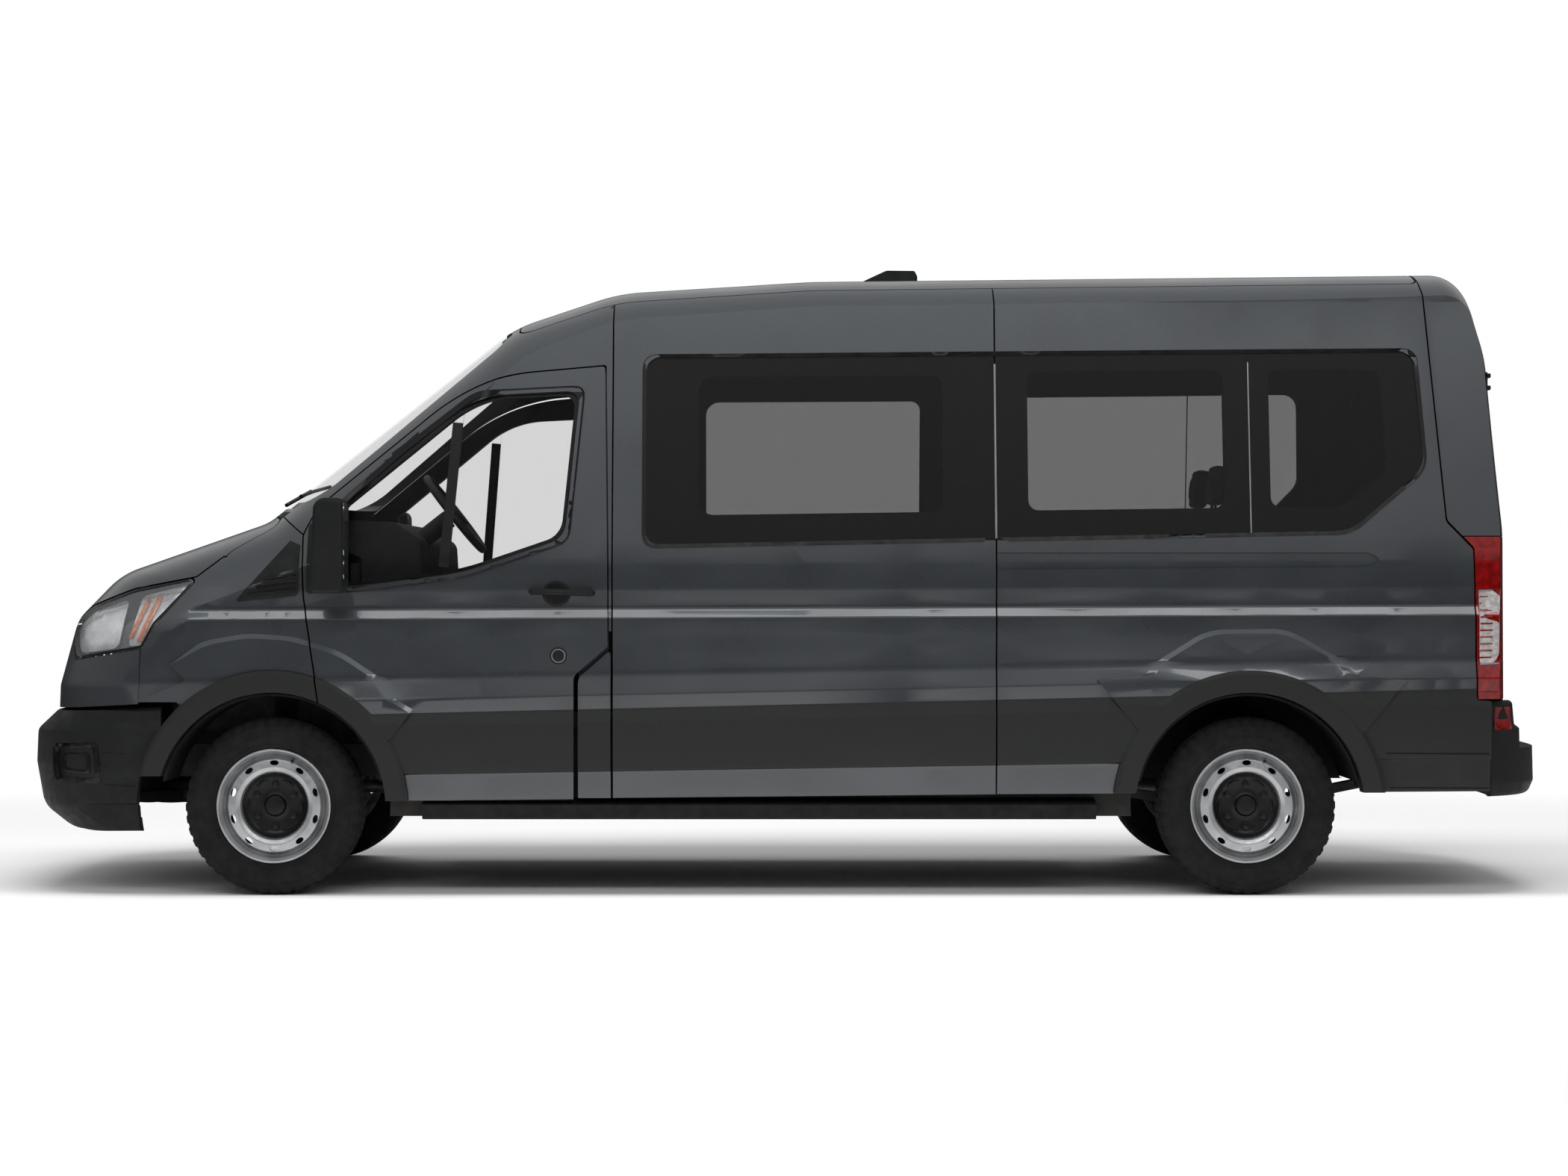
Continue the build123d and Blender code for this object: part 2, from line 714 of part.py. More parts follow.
def front_bumper():
    """Lower nose, left half: a chamfered dark shell that wraps to the wheel arch."""
    solid = TUBE & profile_slab(FRONT_BUMPER_PROFILE)
    solid = solid & box(at_x(-3000), at_x(-2303), -FAR, 0, 0, 900)
    plan = Polygon(*[(at_x(x), y) for x, y in HOLLOW_PLAN], align=None)
    hollow = extrude(Plane.XY.offset(100) * plan, 590)
    recess = Box(2 * FOG_DEPTH, 215, 150)
    recess = fillet(recess.edges().filter_by(Axis.X), 30)
    recess = Pos(at_x(-2672), -928, 508) * Rot(0, 0, 45) * recess
    return largest(less(solid, INNER, hollow, recess, disc(FRONT_AXLE_X, TYRE_RADIUS, FLARE_RADIUS + 3, -600, -1100)))


def rear_bumper():
    """Step bumper, left half: a corner that rises to the lamp and a low step in the middle."""
    solid = TUBE_TAIL & profile_slab(REAR_BUMPER_PROFILE)
    solid = solid & box(at_x(2812), at_x(3200), -FAR, 0, 0, 900)
    return largest(less(solid, INNER, box(at_x(2500), at_x(3200), -866, 10, 562, 900)))


def tail_tube():
    """Straight continuation of the body tube behind the body, for the rear bumper."""
    cut = TUBE & box(at_x(2700), at_x(2955), -FAR, 0, 0, 800)
    return cut + Pos(at_x(2950) - at_x(2700), 0, 0) * cut


TUBE_TAIL = tail_tube()
save("front_bumper", whole(front_bumper()))
save("rear_bumper", whole(rear_bumper()))


# Roof and rear end

TAIL_ZONE_Z = (756, 1379)
HINGE_Y = 872
HINGE_X = 2927
REAR_DOOR_REACH = 868
REAR_GLASS_SINK = 3


def rear_frame():
    """Rear corners above the lamps, the header over the doors and the posts behind the lamps."""
    frame = REAR_SHELL & side_prism(REAR_CORNER, -FAR, 0)
    frame = less(frame, REAR_OPENING, ROOF_OPENING, box(at_x(2500), at_x(3100), -FAR, -864, 0, TAIL_ZONE_Z[1] + 4))
    post = [(-922, 690, 0), (-878, 690, 0), (-878, 1350, 0), (-745, 2330, 0), (-790, 2330, 0), (-922, 1350, 0)]
    sill = box(at_x(2600), at_x(2806), -900, 0, 690, 730)
    return largest(frame + end_prism(end_points(post), at_x(2600), at_x(2690)) + sill)


def rear_door():
    """Left rear door, with a recess for its glass and an inner edge that clears the other door."""
    door = REAR_SHELL & REAR_DOOR_PRISM
    swing = Pos(at_x(HINGE_X), -HINGE_Y, 1500) * Cylinder(REAR_DOOR_REACH, 3000)
    recess = REAR_PANE_BLOCK - Pos(-REAR_GLASS_SINK - GLASS, 0, 0) * REAR_PANE_BLOCK
    return largest(less(door & swing, recess, end_prism(REAR_WINDOW, at_x(2500), at_x(3100), -16)))


REAR_PANE_BLOCK = OUTER & end_prism(REAR_WINDOW, at_x(2600), at_x(3100))
REAR_GLASS_BLOCK = OUTER & end_prism(REAR_WINDOW, at_x(2600), at_x(3100), -1)
REAR_GLASS = (Pos(-REAR_GLASS_SINK, 0, 0) * REAR_GLASS_BLOCK) - (Pos(1 - REAR_GLASS_SINK - GLASS, 0, 0) * REAR_GLASS_BLOCK)

save("roof_panel", whole(SHELL & ROOF_PRISM))
save("rear_frame", whole(rear_frame()))
save("tail_lamps", both(largest((REAR_SHELL & side_prism(REAR_CORNER, -FAR, -TAIL_LAMP_Y)) - box(
    at_x(2500), at_x(3100), -FAR, 0, TAIL_ZONE_Z[1], 2800))))
REAR_DOOR_LEFT = rear_door()
REAR_GLASS_LEFT = largest(REAR_GLASS)
save("left_rear_door", REAR_DOOR_LEFT)
save("right_rear_door", mirrored(REAR_DOOR_LEFT))
save("left_rear_door_glass", REAR_GLASS_LEFT)
save("right_rear_door_glass", mirrored(REAR_GLASS_LEFT))


# Small outside pieces

GRILLE_RAILS = [(757, 774), (806, 822), (856, 872), (906, 922), (956, 972), (990, 1007)]


def nose_arc(z, depth):
    """Plan outline of the nose at a height, a depth behind the surface, as points x, y."""
    slope = (z - 800) / (1060 - 800)
    nose_x = -2805 + 70 * slope + depth
    return [(at_x(nose_x) + (420 - 20 * slope) * retreat(i * 70 / (1000 - 20 * slope)), -i * 70.0) for i in range(10)]


def grille():
    """Black grille, left half: bars that follow the nose, joined by upright bars."""
    shape = None
    for z0, z1 in GRILLE_RAILS:
        half = 470 + 90 * (z0 - 752) / 260
        front = nose_arc((z0 + z1) / 2, 12)
        back = [(x + 24, y) for x, y in reversed(front)]
        bar = extrude(Pos(0, 0, z0) * make_face(Polyline(*front, *back, close=True)), amount=z1 - z0, dir=(0, 0, 1))
        bar = bar & box(at_x(-3000), at_x(-2300), -half, 0, z0, z1)
        shape = bar if shape is None else shape + bar
    for y in (-20, -150, -280, -410):
        x = at_x(-2790) + 420 * retreat(abs(y) / 1000)
        shape = shape + side_prism([(x + 4, 757, 0), (x + 74, 1007, 0), (x + 94, 1007, 0), (x + 24, 757, 0)], y - 6, y + 6)
    shape = shape & end_prism(GRILLE_OPENING, at_x(-3000), at_x(-2300), -1)
    return shape - side_prism(HEADLAMP, -FAR, -495, 4)


ANTENNA = side_points([
    (404, 2408, 0),
    (648, 2408, 0),
    (648, 2470, 6),
    (636, 2492, 10),
    (520, 2494, 40),
    (450, 2462, 60),
    (404, 2440, 8),
])


def antenna():
    """Low fin aerial on the middle of the roof."""
    fin = side_prism(ANTENNA, -34, 34)
    plan = plan_points([(390, -14, 10), (640, -33, 12), (652, -20, 8), (652, 20, 8), (640, 33, 12), (390, 14, 10)])
    fin = fin & plan_prism(plan, 2300, 2600) & box(at_x(300), at_x(700), -50, 0, 2300, 2600)
    return whole(fin - OUTER)


save("grille", whole(grille()))
save("antenna", antenna())


# Floor, frame and running gear

FRAME_Y = 430
FRAME_WIDTH = 100
FRAME_PROFILE = side_points([
    # x, z, corner radius of the frame rail's side outline
    (-2660, 430, 20),
    (-1300, 430, 60),
    (-1200, 400, 60),
    (1150, 400, 150),
    (1500, 540, 150),
    (2250, 540, 150),
    (2500, 470, 60),
    (2790, 470, 20),
    (2790, 560, 20),
    (2500, 560, 60),
    (2250, 632, 150),
    (1500, 632, 150),
    (1150, 520, 150),
    (-1200, 520, 60),
    (-1300, 560, 60),
    (-2660, 560, 20),
])
CROSSMEMBERS = [
    # x, z of the bottom, z of the top, width along the van
    (-2600, 440, 550, 90),
    (-1250, 503, 535, 80),
    (100, 455, 510, 80),
    (1200, 420, 515, 80),
    (2320, 500, 560, 80),
    (2735, 475, 555, 90),
]
TOW_BOLTS = (160, 50)
TOW_BOLT_RADIUS = 6.5
LINER_RADIUS = 433
LINER = 8
SILL_Y = (812, 900)
AXLE_TUBE = 42
KNUCKLE_REACH = 115
BALL = 24
ARM = 26
HUB_Y = 858


def floor_pan():
    """Load floor with its sills, the step down to the cab and the wall ahead of the pedals."""
    floor = box(at_x(-1600), at_x(2786), -SIDE_INSIDE_Y, SIDE_INSIDE_Y, FLOOR_Z - FLOOR_THICKNESS, FLOOR_Z)
    wall = box(at_x(-1600), at_x(-1560), -780, 780, FLOOR_Z - 40, 1280)
    shape = floor + wall
    for side in (-1, 1):
        y0, y1 = sorted([side * SILL_Y[0], side * SILL_Y[1]])
        shape = shape + box(at_x(-1560), at_x(1500), y0, y1, 300, FLOOR_Z)
        shape = shape + box(at_x(1500), at_x(2700), y0, y1, 410, FLOOR_Z)
    arches = [disc(FRONT_AXLE_X, TYRE_RADIUS, LINER_RADIUS + LINER + 3, -1000, 1000)]
    for side in (-1, 1):
        arches.append(disc(REAR_AXLE_X, TYRE_RADIUS, LINER_RADIUS + LINER + 3, side * 550, side * 1000))
    return less(shape, *arches)


def side_skirts():
    """Black sill covers below the doors and panels, between the wheels."""
    skirt = end_prism([(-905, 300, 10), (-985, 290, 20), (-995, 350, 5), (-905, 372, 5)], at_x(-1300), at_x(1290))
    return both(less(
        skirt,
        disc(FRONT_AXLE_X, TYRE_RADIUS, FLARE_RADIUS + 5, -800, -1100),
        disc(REAR_AXLE_X, TYRE_RADIUS, FLARE_RADIUS + 5, -800, -1100),
    ))


def chassis_rails():
    """Ladder frame: two kicked-up rails and their crossmembers, with the tow bar bolt holes."""
    rail = side_prism(FRAME_PROFILE, -FRAME_Y - FRAME_WIDTH / 2, -FRAME_Y + FRAME_WIDTH / 2)
    frame = rail + mirrored(rail)
    reach = FRAME_Y - FRAME_WIDTH / 2 + 5
    for x, z0, z1, width in CROSSMEMBERS:
        frame = frame + box(at_x(x) - width / 2, at_x(x) + width / 2, -reach, reach, z0, z1)
    for i in (-1, 1):
        for j in (-1, 1):
            hole = Pos(at_x(2735), i * TOW_BOLTS[0] / 2, 515 + j * TOW_BOLTS[1] / 2)
            frame = frame - hole * Rot(0, 90, 0) * Cylinder(TOW_BOLT_RADIUS, 200)
    return frame


def wheel_liners():
    """Plastic half shells over the four wheels."""
    shells = []
    for axle_x, inside in ((FRONT_AXLE_X, 640), (REAR_AXLE_X, 560)):
        for side in (-1, 1):
            y0, y1 = side * inside, side * 985
            shell = disc(axle_x, TYRE_RADIUS, LINER_RADIUS, y0, y1)
            shell = shell - disc(axle_x, TYRE_RADIUS, LINER_RADIUS - LINER, y0 * 0.9, y1 * 1.1)
            shells.append(shell - box(axle_x - 600, axle_x + 600, -1100, 1100, -200, 440))
    return Compound([shell.solids()[0] for shell in shells])


def tube_between(start, end, radius):
    """Round bar between two points."""
    direction = Vector(*end) - Vector(*start)
    plane = Plane(origin=start, z_dir=direction.normalized())
    return extrude(plane * Circle(radius), amount=direction.length)


def front_suspension():
    """Subframe with upper and lower arms that end at the knuckles, and the struts above."""
    shape = box(FRONT_AXLE_X - 190, FRONT_AXLE_X + 190, -420, 420, 265, 330)
    for side in (-1, 1):
        low = TYRE_RADIUS - KNUCKLE_REACH
        high = TYRE_RADIUS + KNUCKLE_REACH
        tip = side * (STEER_AXIS_Y - BALL - 12)
        for z, root in ((low, 440), (high, FRAME_Y + FRAME_WIDTH / 2)):
            shape = shape + tube_between((FRONT_AXLE_X, tip, z), (FRONT_AXLE_X, side * root, z), ARM - 6)
        tower = box(FRONT_AXLE_X - 60, FRONT_AXLE_X + 60, *sorted([side * 375, side * 470]), 215, 430)
        shape = shape + tower
        shape = shape + tube_between((FRONT_AXLE_X, side * 640, low), (FRONT_AXLE_X, side * 560, 900), 26)
        shape = shape + tube_between((FRONT_AXLE_X, side * 610, 560), (FRONT_AXLE_X, side * 572, 860), 48)
    return shape


def knuckle():
    """Left steering knuckle: upright with two ball bosses on the steering axis, a stub axle
    and a steering arm."""
    upright = box(FRONT_AXLE_X - 30, FRONT_AXLE_X + 30, -STEER_AXIS_Y - 22, -STEER_AXIS_Y + 22,
                  TYRE_RADIUS - KNUCKLE_REACH, TYRE_RADIUS + KNUCKLE_REACH)
    for side in (-1, 1):
        upright = upright + Pos(FRONT_AXLE_X, -STEER_AXIS_Y, TYRE_RADIUS + side * KNUCKLE_REACH) * Sphere(BALL)
    stub = disc(FRONT_AXLE_X, TYRE_RADIUS, 34, -STEER_AXIS_Y, -HUB_Y + 6)
    caliper = box(FRONT_AXLE_X + 95, FRONT_AXLE_X + 150, -STEER_AXIS_Y - 40, -STEER_AXIS_Y + 10,
                  TYRE_RADIUS - 60, TYRE_RADIUS + 60)
    bracket = box(FRONT_AXLE_X + 20, FRONT_AXLE_X + 110, -STEER_AXIS_Y - 20, -STEER_AXIS_Y + 5,
                  TYRE_RADIUS - 30, TYRE_RADIUS + 30)
    return upright + stub + caliper + bracket


TYRE_PROFILE = [
    # distance outboard from the middle of the wheel, radius, corner radius
    (-84, RIM_RADIUS + 2, 3),
    (-95, RIM_RADIUS + 2, 3),
    (-112, 240, 25),
    (-TYRE_WIDTH / 2, 285, 60),
    (-98, 330, 22),
    (-60, TYRE_RADIUS, 60),
    (60, TYRE_RADIUS, 60),
    (98, 330, 22),
    (TYRE_WIDTH / 2, 285, 60),
    (112, 240, 25),
    (95, RIM_RADIUS + 2, 3),
    (84, RIM_RADIUS + 2, 3),
    (63, 204.5, 6),
    (-67, 204.5, 6),
]
RIM_PROFILE = [
    (-92, RIM_RADIUS, 3),
    (-92, RIM_RADIUS - 8, 3),
    (-84, 190, 8),
    (10, 186, 10),
    (46, 182, 10),
    (58, 172, 8),
    (60, 152, 10),
    (50, 130, 8),
    (24, 118, 8),
    (14, 40, 8),
    (14, 0, 0),
    (46, 0, 0),
    (46, 36, 5),
    (30, 46, 5),
    (26, 100, 6),
    (40, 122, 6),
    (66, 132, 6),
    (74, 148, 12),
    (70, 178, 8),
    (60, 192, 6),
    (70, 202, 6),
    (92, RIM_RADIUS - 8, 3),
    (92, RIM_RADIUS, 3),
    (84, RIM_RADIUS, 3),
    (62, 202, 6),
    (-66, 200, 8),
    (-84, RIM_RADIUS, 3),
]
RIM_HOLES = 10
RIM_HOLE = (17, 10)
RIM_HOLE_CIRCLE = 166


def lathe(profile):
    """Turned piece about the Y axis, its outboard side towards -Y."""
    edges = rounded_edges([(r, -out, 0) for out, r, corner in profile], [p[2] for p in profile])
    return revolve(Face(Wire(edges)), Axis.Y)


def rim():
    """Steel disc wheel with a ring of oval vent holes."""
    wheel = lathe(RIM_PROFILE)
    hole = extrude(Ellipse(RIM_HOLE[1], RIM_HOLE[0]), 60, both=True)
    for i in range(RIM_HOLES):
        turn = Rot(0, 360 * (i + 0.5) / RIM_HOLES, 0)
        wheel = wheel - turn * Pos(RIM_HOLE_CIRCLE, -65, 0) * Rot(90, 0, 0) * hole
    return wheel


def rear_axle():
    """Driven axle with its hub faces, leaf springs, dampers and the shaft from the engine."""
    axle = disc(REAR_AXLE_X, TYRE_RADIUS, AXLE_TUBE, -HUB_Y + 6, HUB_Y - 6)
    axle = axle + Pos(REAR_AXLE_X, 0, TYRE_RADIUS) * Rot(90, 0, 0) * Cylinder(105, 170)
    axle = axle + Pos(REAR_AXLE_X, 0, TYRE_RADIUS) * Rot(0, 90, 0) * Cylinder(80, 320)
    for side in (-1, 1):
        axle = axle + disc(REAR_AXLE_X, TYRE_RADIUS, 130, side * 752, side * 800)
        spring = side_prism(side_points([
            (1180, 395, 0),
            (1875, 290, 900),
            (2420, 400, 0),
            (2420, 436, 0),
            (1875, 326, 900),
            (1180, 431, 0),
        ]), side * 565 - 35, side * 565 + 35)
        axle = axle + spring
        axle = axle + box(REAR_AXLE_X - 60, REAR_AXLE_X + 60, *sorted([side * 520, side * 610]), 285, 392)
    return axle


def drive_shaft():
    return tube_between((at_x(-1600), 0, 470), (REAR_AXLE_X - 165, 0, TYRE_RADIUS + 10), 38)


def exhaust():
    """Pipe on the right side with its silencer, ending ahead of the rear bumper."""
    route = [(-1672, 240, 350), (-1500, 240, 340), (-300, 240, 340), (900, 300, 345)]
    points = [(at_x(x), y, z) for x, y, z in route]
    shape = tube_between(points[0], points[1], 28)
    for start, end in zip(points[1:], points[2:]):
        shape = shape + tube_between(start, end, 28) + Pos(*start) * Sphere(28)
    silencer = Pos(at_x(250), 264, 332) * Rot(0, 90, 0) * extrude(Ellipse(75, 120), 260, both=True)
    return shape + silencer


def fuel_tank():
    tank = box(at_x(-820), at_x(380), -800, -500, 330, 600)
    return fillet(tank.edges(), 35)


def engine_block():
    return box(at_x(-2380), at_x(-1640), -290, 290, 440, 1000)


save("floor_pan", floor_pan())
save("side_skirts", side_skirts())
save("chassis_rails", chassis_rails())
save("wheel_liners", wheel_liners())
save("front_suspension", front_suspension())
KNUCKLE = knuckle()
save("left_knuckle", KNUCKLE)
save("right_knuckle", mirrored(KNUCKLE))
TYRE = lathe(TYRE_PROFILE)
RIM = rim()
for row, axle_x in (("front", FRONT_AXLE_X), ("rear", REAR_AXLE_X)):
    left_tyre = Pos(axle_x, -WHEEL_Y, TYRE_RADIUS) * TYRE
    left_rim = Pos(axle_x, -WHEEL_Y, TYRE_RADIUS) * RIM
    save(f"{row}_left_tyre", left_tyre)
    save(f"{row}_left_rim", left_rim)
    save(f"{row}_right_tyre", mirrored(left_tyre))
    save(f"{row}_right_rim", mirrored(left_rim))
save("rear_axle", rear_axle())
save("drive_shaft", drive_shaft())
# The swept pipe is read back as a sound solid only with its curves on faces.
save("exhaust", exhaust(), with_face_curves=True)
save("fuel_tank", fuel_tank())
save("engine_block", engine_block())


# Cab and cabin

DASHBOARD = side_points([
    # x, z, corner radius
    (-1555, 1010, 20),
    (-1390, 1020, 40),
    (-1320, 1200, 60),
    (-1330, 1370, 50),
    (-1430, 1440, 70),
    (-1820, 1455, 8),
    (-1820, 1405, 8),
    (-1555, 1300, 20),
])
DRIVER_Y = -430
WHEEL_CENTRE = (at_x(-1225), DRIVER_Y, 1478)
WHEEL_TILT = 52
STEERING_RADIUS = 195


def dashboard():
    """Dash top and its steering column, with the pod for the gear lever."""
    plan = both_sides(plan_points([(-1830, 560, 30), (-1712, 800, 60), (-1250, 800, 0)]))
    dash = side_prism(DASHBOARD, -820, 820) & plan_prism(plan, 900, 1600)
    pod = box(at_x(-1500), at_x(-1300), -150, 150, FLOOR_Z + 2, 1250)
    column = Pos(*WHEEL_CENTRE) * Rot(0, WHEEL_TILT, 0) * Pos(0, 0, -110) * Cylinder(38, 160)
    return dash + pod + column


def steering_wheel():
    ring = Torus(STEERING_RADIUS - 15, 15)
    hub = Cylinder(62, 44)
    shape = ring + hub
    for angle in (0, 180, 270):
        shape = shape + Rot(0, 0, angle) * Pos((STEERING_RADIUS - 15) / 2, 0, 0) * Box(STEERING_RADIUS - 15, 34, 16)
    return Pos(*WHEEL_CENTRE) * Rot(0, WHEEL_TILT, 0) * shape


def seat(x, y, width, base, cushion, top, rest):
    """Seat with its base, cushion, leaning back and, when rest is set, a headrest. x is where
    the back meets the cushion."""
    half = width / 2
    foot = box(x - 400, x - 60, y - half + 60, y + half - 60, FLOOR_Z + 2, base + 20)
    pad = side_prism([(x - 470, base, 40), (x + 40, base, 30), (x + 60, cushion, 30), (x - 480, cushion + 20, 60)],
                     y - half, y + half)
    lean = (top - cushion) * 0.22
    back = side_prism([(x - 50, cushion - 60, 20), (x + 60, cushion - 60, 30), (x + 60 + lean, top, 38),
                       (x - 30 + lean, top, 38)], y - half, y + half)
    shape = foot + pad + back
    if rest:
        for middle in rest:
            shape = shape + box(x - 10 + lean, x + 10 + lean, middle - 8, middle + 8, top - 40, top + 60)
            shape = shape + fillet(box(x - 30 + lean, x + 55 + lean, middle - 130, middle + 130, top + 35, top + 200).edges(), 30)
    return shape


FRONT_SEATS_X = -715
BENCHES = [
    # x, width, middles of the headrests
    (30, 3 * SEAT_WIDTH, []),
    (875, 3 * SEAT_WIDTH, [-480, 0, 480]),
    (1750, 2 * SEAT_WIDTH + 60, [-260, 260]),
]


def front_seats():
    return Compound([
        seat(at_x(FRONT_SEATS_X), DRIVER_Y, SEAT_WIDTH + 20, 940, 1080, 1540, [DRIVER_Y]).solids()[0],
        seat(at_x(FRONT_SEATS_X), 330, 2 * SEAT_WIDTH - 40, 940, 1080, 1540, [130, 530]).solids()[0],
    ])


def rear_benches():
    """Three rows. The first has no headrests, so that nothing shows above its window line."""
    return Compound([seat(at_x(x), 0, width, 960, 1070, 1480, rests).solids()[0] for x, width, rests in BENCHES])


save("dashboard", dashboard())
save("steering_wheel", steering_wheel())
save("front_seats", front_seats())
save("rear_benches", rear_benches())
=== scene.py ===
import math

import bmesh
import bpy
from mathutils import Matrix, Vector
from mathutils.bvhtree import BVHTree
from mathutils.geometry import delaunay_2d_cdt

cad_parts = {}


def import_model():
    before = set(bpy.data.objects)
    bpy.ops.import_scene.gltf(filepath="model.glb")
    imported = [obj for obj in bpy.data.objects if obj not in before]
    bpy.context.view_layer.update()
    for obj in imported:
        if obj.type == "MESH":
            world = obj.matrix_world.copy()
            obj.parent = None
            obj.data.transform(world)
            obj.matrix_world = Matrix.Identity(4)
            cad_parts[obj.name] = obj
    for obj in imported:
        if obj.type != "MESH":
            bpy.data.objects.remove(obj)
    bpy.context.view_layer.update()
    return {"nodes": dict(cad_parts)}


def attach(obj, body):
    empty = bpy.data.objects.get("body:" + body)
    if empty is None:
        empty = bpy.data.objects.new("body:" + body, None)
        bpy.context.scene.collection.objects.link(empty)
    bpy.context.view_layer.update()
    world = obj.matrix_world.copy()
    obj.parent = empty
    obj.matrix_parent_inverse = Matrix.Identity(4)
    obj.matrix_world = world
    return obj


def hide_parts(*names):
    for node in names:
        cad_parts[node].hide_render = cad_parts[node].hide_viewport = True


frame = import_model()
NODES = frame["nodes"]
SCENE = bpy.context.scene
SIDES = (("left", -1), ("right", 1))
AXLES_X = (-1.9675, 1.7825)
WHEEL_Y = 0.866
AXLE_Z = 0.342
TYRE_RADIUS = 0.342
FLARE_RADIUS = 0.5245
ROW_SHIFT = -0.0925
BAND_FOOT = (0.458, 0.517)
BAND_TOP = (0.690, 0.776)
CLADDING_Y = 0.955


# Materials

def srgb(*values):
    """Linear colour, with alpha 1, from sRGB values of 0 to 255."""
    linear = []
    for value in values:
        v = value / 255
        linear.append(v / 12.92 if v <= 0.04045 else ((v + 0.055) / 1.055) ** 2.4)
    return (*linear, 1)


def new_material(name, color, roughness, metallic=0.0, **sockets):
    """A Principled material. sockets are more of its inputs, with _ for each space."""
    material = bpy.data.materials.new(name)
    material.use_nodes = True
    shader = material.node_tree.nodes["Principled BSDF"]
    shader.inputs["Base Color"].default_value = color
    shader.inputs["Roughness"].default_value = roughness
    shader.inputs["Metallic"].default_value = metallic
    for key, value in sockets.items():
        shader.inputs[key.replace("_", " ")].default_value = value
    return material


def texture(material, kind, **settings):
    """A texture node on object coordinates. Settings that are inputs are set by name."""
    tree = material.node_tree
    node = tree.nodes.new(kind)
    place = tree.nodes.new("ShaderNodeTexCoord")
    tree.links.new(place.outputs["Object"], node.inputs["Vector"])
    for key, value in settings.items():
        if key in node.inputs:
            node.inputs[key].default_value = value
        else:
            setattr(node, key, value)
    return node


def ramp(material, source, stops):
    tree = material.node_tree
    node = tree.nodes.new("ShaderNodeValToRGB")
    elements = node.color_ramp.elements
    while len(elements) < len(stops):
        elements.new(0.5)
    for element, (position, color) in zip(elements, stops):
        element.position = position
        element.color = color if isinstance(color, tuple) else (color, color, color, 1)
    tree.links.new(source, node.inputs["Fac"])
    return node.outputs["Color"]


def add_bump(material, height, strength, distance):
    tree = material.node_tree
    shader = tree.nodes["Principled BSDF"]
    bump = tree.nodes.new("ShaderNodeBump")
    bump.inputs["Strength"].default_value = strength
    bump.inputs["Distance"].default_value = distance
    tree.links.new(height, bump.inputs["Height"])
    old = shader.inputs["Normal"].links
    if old:
        tree.links.new(old[0].from_socket, bump.inputs["Normal"])
    tree.links.new(bump.outputs["Normal"], shader.inputs["Normal"])


def vary(material, scale, low, high, socket="Roughness", detail=4):
    """Lets a shader input wander between two values or colours, in soft patches."""
    noise = texture(material, "ShaderNodeTexNoise", Scale=scale, Detail=detail)
    color = ramp(material, noise.outputs["Fac"], [(0.35, low), (0.65, high)])
    shader = material.node_tree.nodes["Principled BSDF"]
    material.node_tree.links.new(color, shader.inputs[socket])


def grain(material, scale, strength, distance, kind="ShaderNodeTexNoise"):
    node = texture(material, kind, Scale=scale)
    out = node.outputs["Fac"] if "Fac" in node.outputs else node.outputs["Distance"]
    add_bump(material, out, strength, distance)


def painted(name, color, dark, roughness=0.3):
    material = new_material(name, color, roughness, 0.45, Coat_Weight=0.8, Coat_Roughness=0.05)
    vary(material, 1400, dark, color, "Base Color", 1)
    vary(material, 3, roughness - 0.05, roughness + 0.06)
    grain(material, 420, 0.03, 0.0002)
    return material


def plastic(name, color, worn, roughness=0.62, size=900, strength=0.25):
    material = new_material(name, color, roughness, Specular_IOR_Level=0.3)
    vary(material, 8, color, worn, "Base Color")
    vary(material, 25, roughness - 0.08, roughness + 0.08)
    grain(material, size, strength, 0.0003)
    return material


def metal(name, color, worn, roughness, metallic, size=300, strength=0.1):
    material = new_material(name, color, roughness, metallic)
    vary(material, 14, color, worn, "Base Color")
    vary(material, 60, roughness - 0.06, roughness + 0.08)
    grain(material, size, strength, 0.0003)
    return material


def glass(name, color, alpha, roughness=0.02):
    """Thin glass: alpha is what each of its faces holds back."""
    material = new_material(name, color, roughness, 0, Alpha=alpha, Coat_Weight=0.35, Specular_IOR_Level=0.5)
    vary(material, 3, roughness * 0.5, roughness * 1.5)
    return material


BLACK_CLADDING = srgb(16, 17, 18)
PAINT = painted("body_paint", srgb(74, 78, 82), srgb(58, 61, 64))
CLADDING = plastic("dark_cladding", BLACK_CLADDING, srgb(23, 24, 25))
SKIRT = plastic("skirt_black", srgb(12, 12, 13), srgb(20, 20, 19), 0.75)
INNER_PLASTIC = plastic("inner_plastic", srgb(34, 34, 36), srgb(42, 42, 44), 0.7, 600)
HEADLINER = plastic("headliner", srgb(30, 30, 31), srgb(37, 37, 38), 0.9, 700, 0.4)
UNDERBODY = plastic("underbody_coat", srgb(36, 36, 37), srgb(54, 51, 48), 0.7, 160, 0.5)
TRIM = plastic("window_trim", srgb(9, 9, 10), srgb(14, 14, 15), 0.4, 900, 0.05)
# Near-black plastic used as painted shade: the hollow of the door handles and the grooves in the bumper and quarter
# panels.
PAINTED_SHADE = plastic("painted_shade_black", srgb(12, 12, 12), srgb(18, 18, 18), 0.8)
PALE_SEAM = plastic("pale_sealant", srgb(120, 121, 122), srgb(138, 139, 140), 0.5)
TINTED = glass("tinted_glass", srgb(10, 10, 11), 0.40)
CLEAR = glass("clear_glass", srgb(20, 21, 21), 0.10)
LAMP_CLEAR = glass("lamp_clear", srgb(225, 228, 230), 0.12)
LAMP_RED = new_material("lamp_red", srgb(150, 12, 14), 0.12, 0, Transmission_Weight=0.25, Coat_Weight=0.8)
vary(LAMP_RED, 40, srgb(120, 8, 10), srgb(165, 16, 16), "Base Color")
LAMP_WHITE = new_material("lamp_white", srgb(190, 188, 186), 0.15, 0, Coat_Weight=0.8)
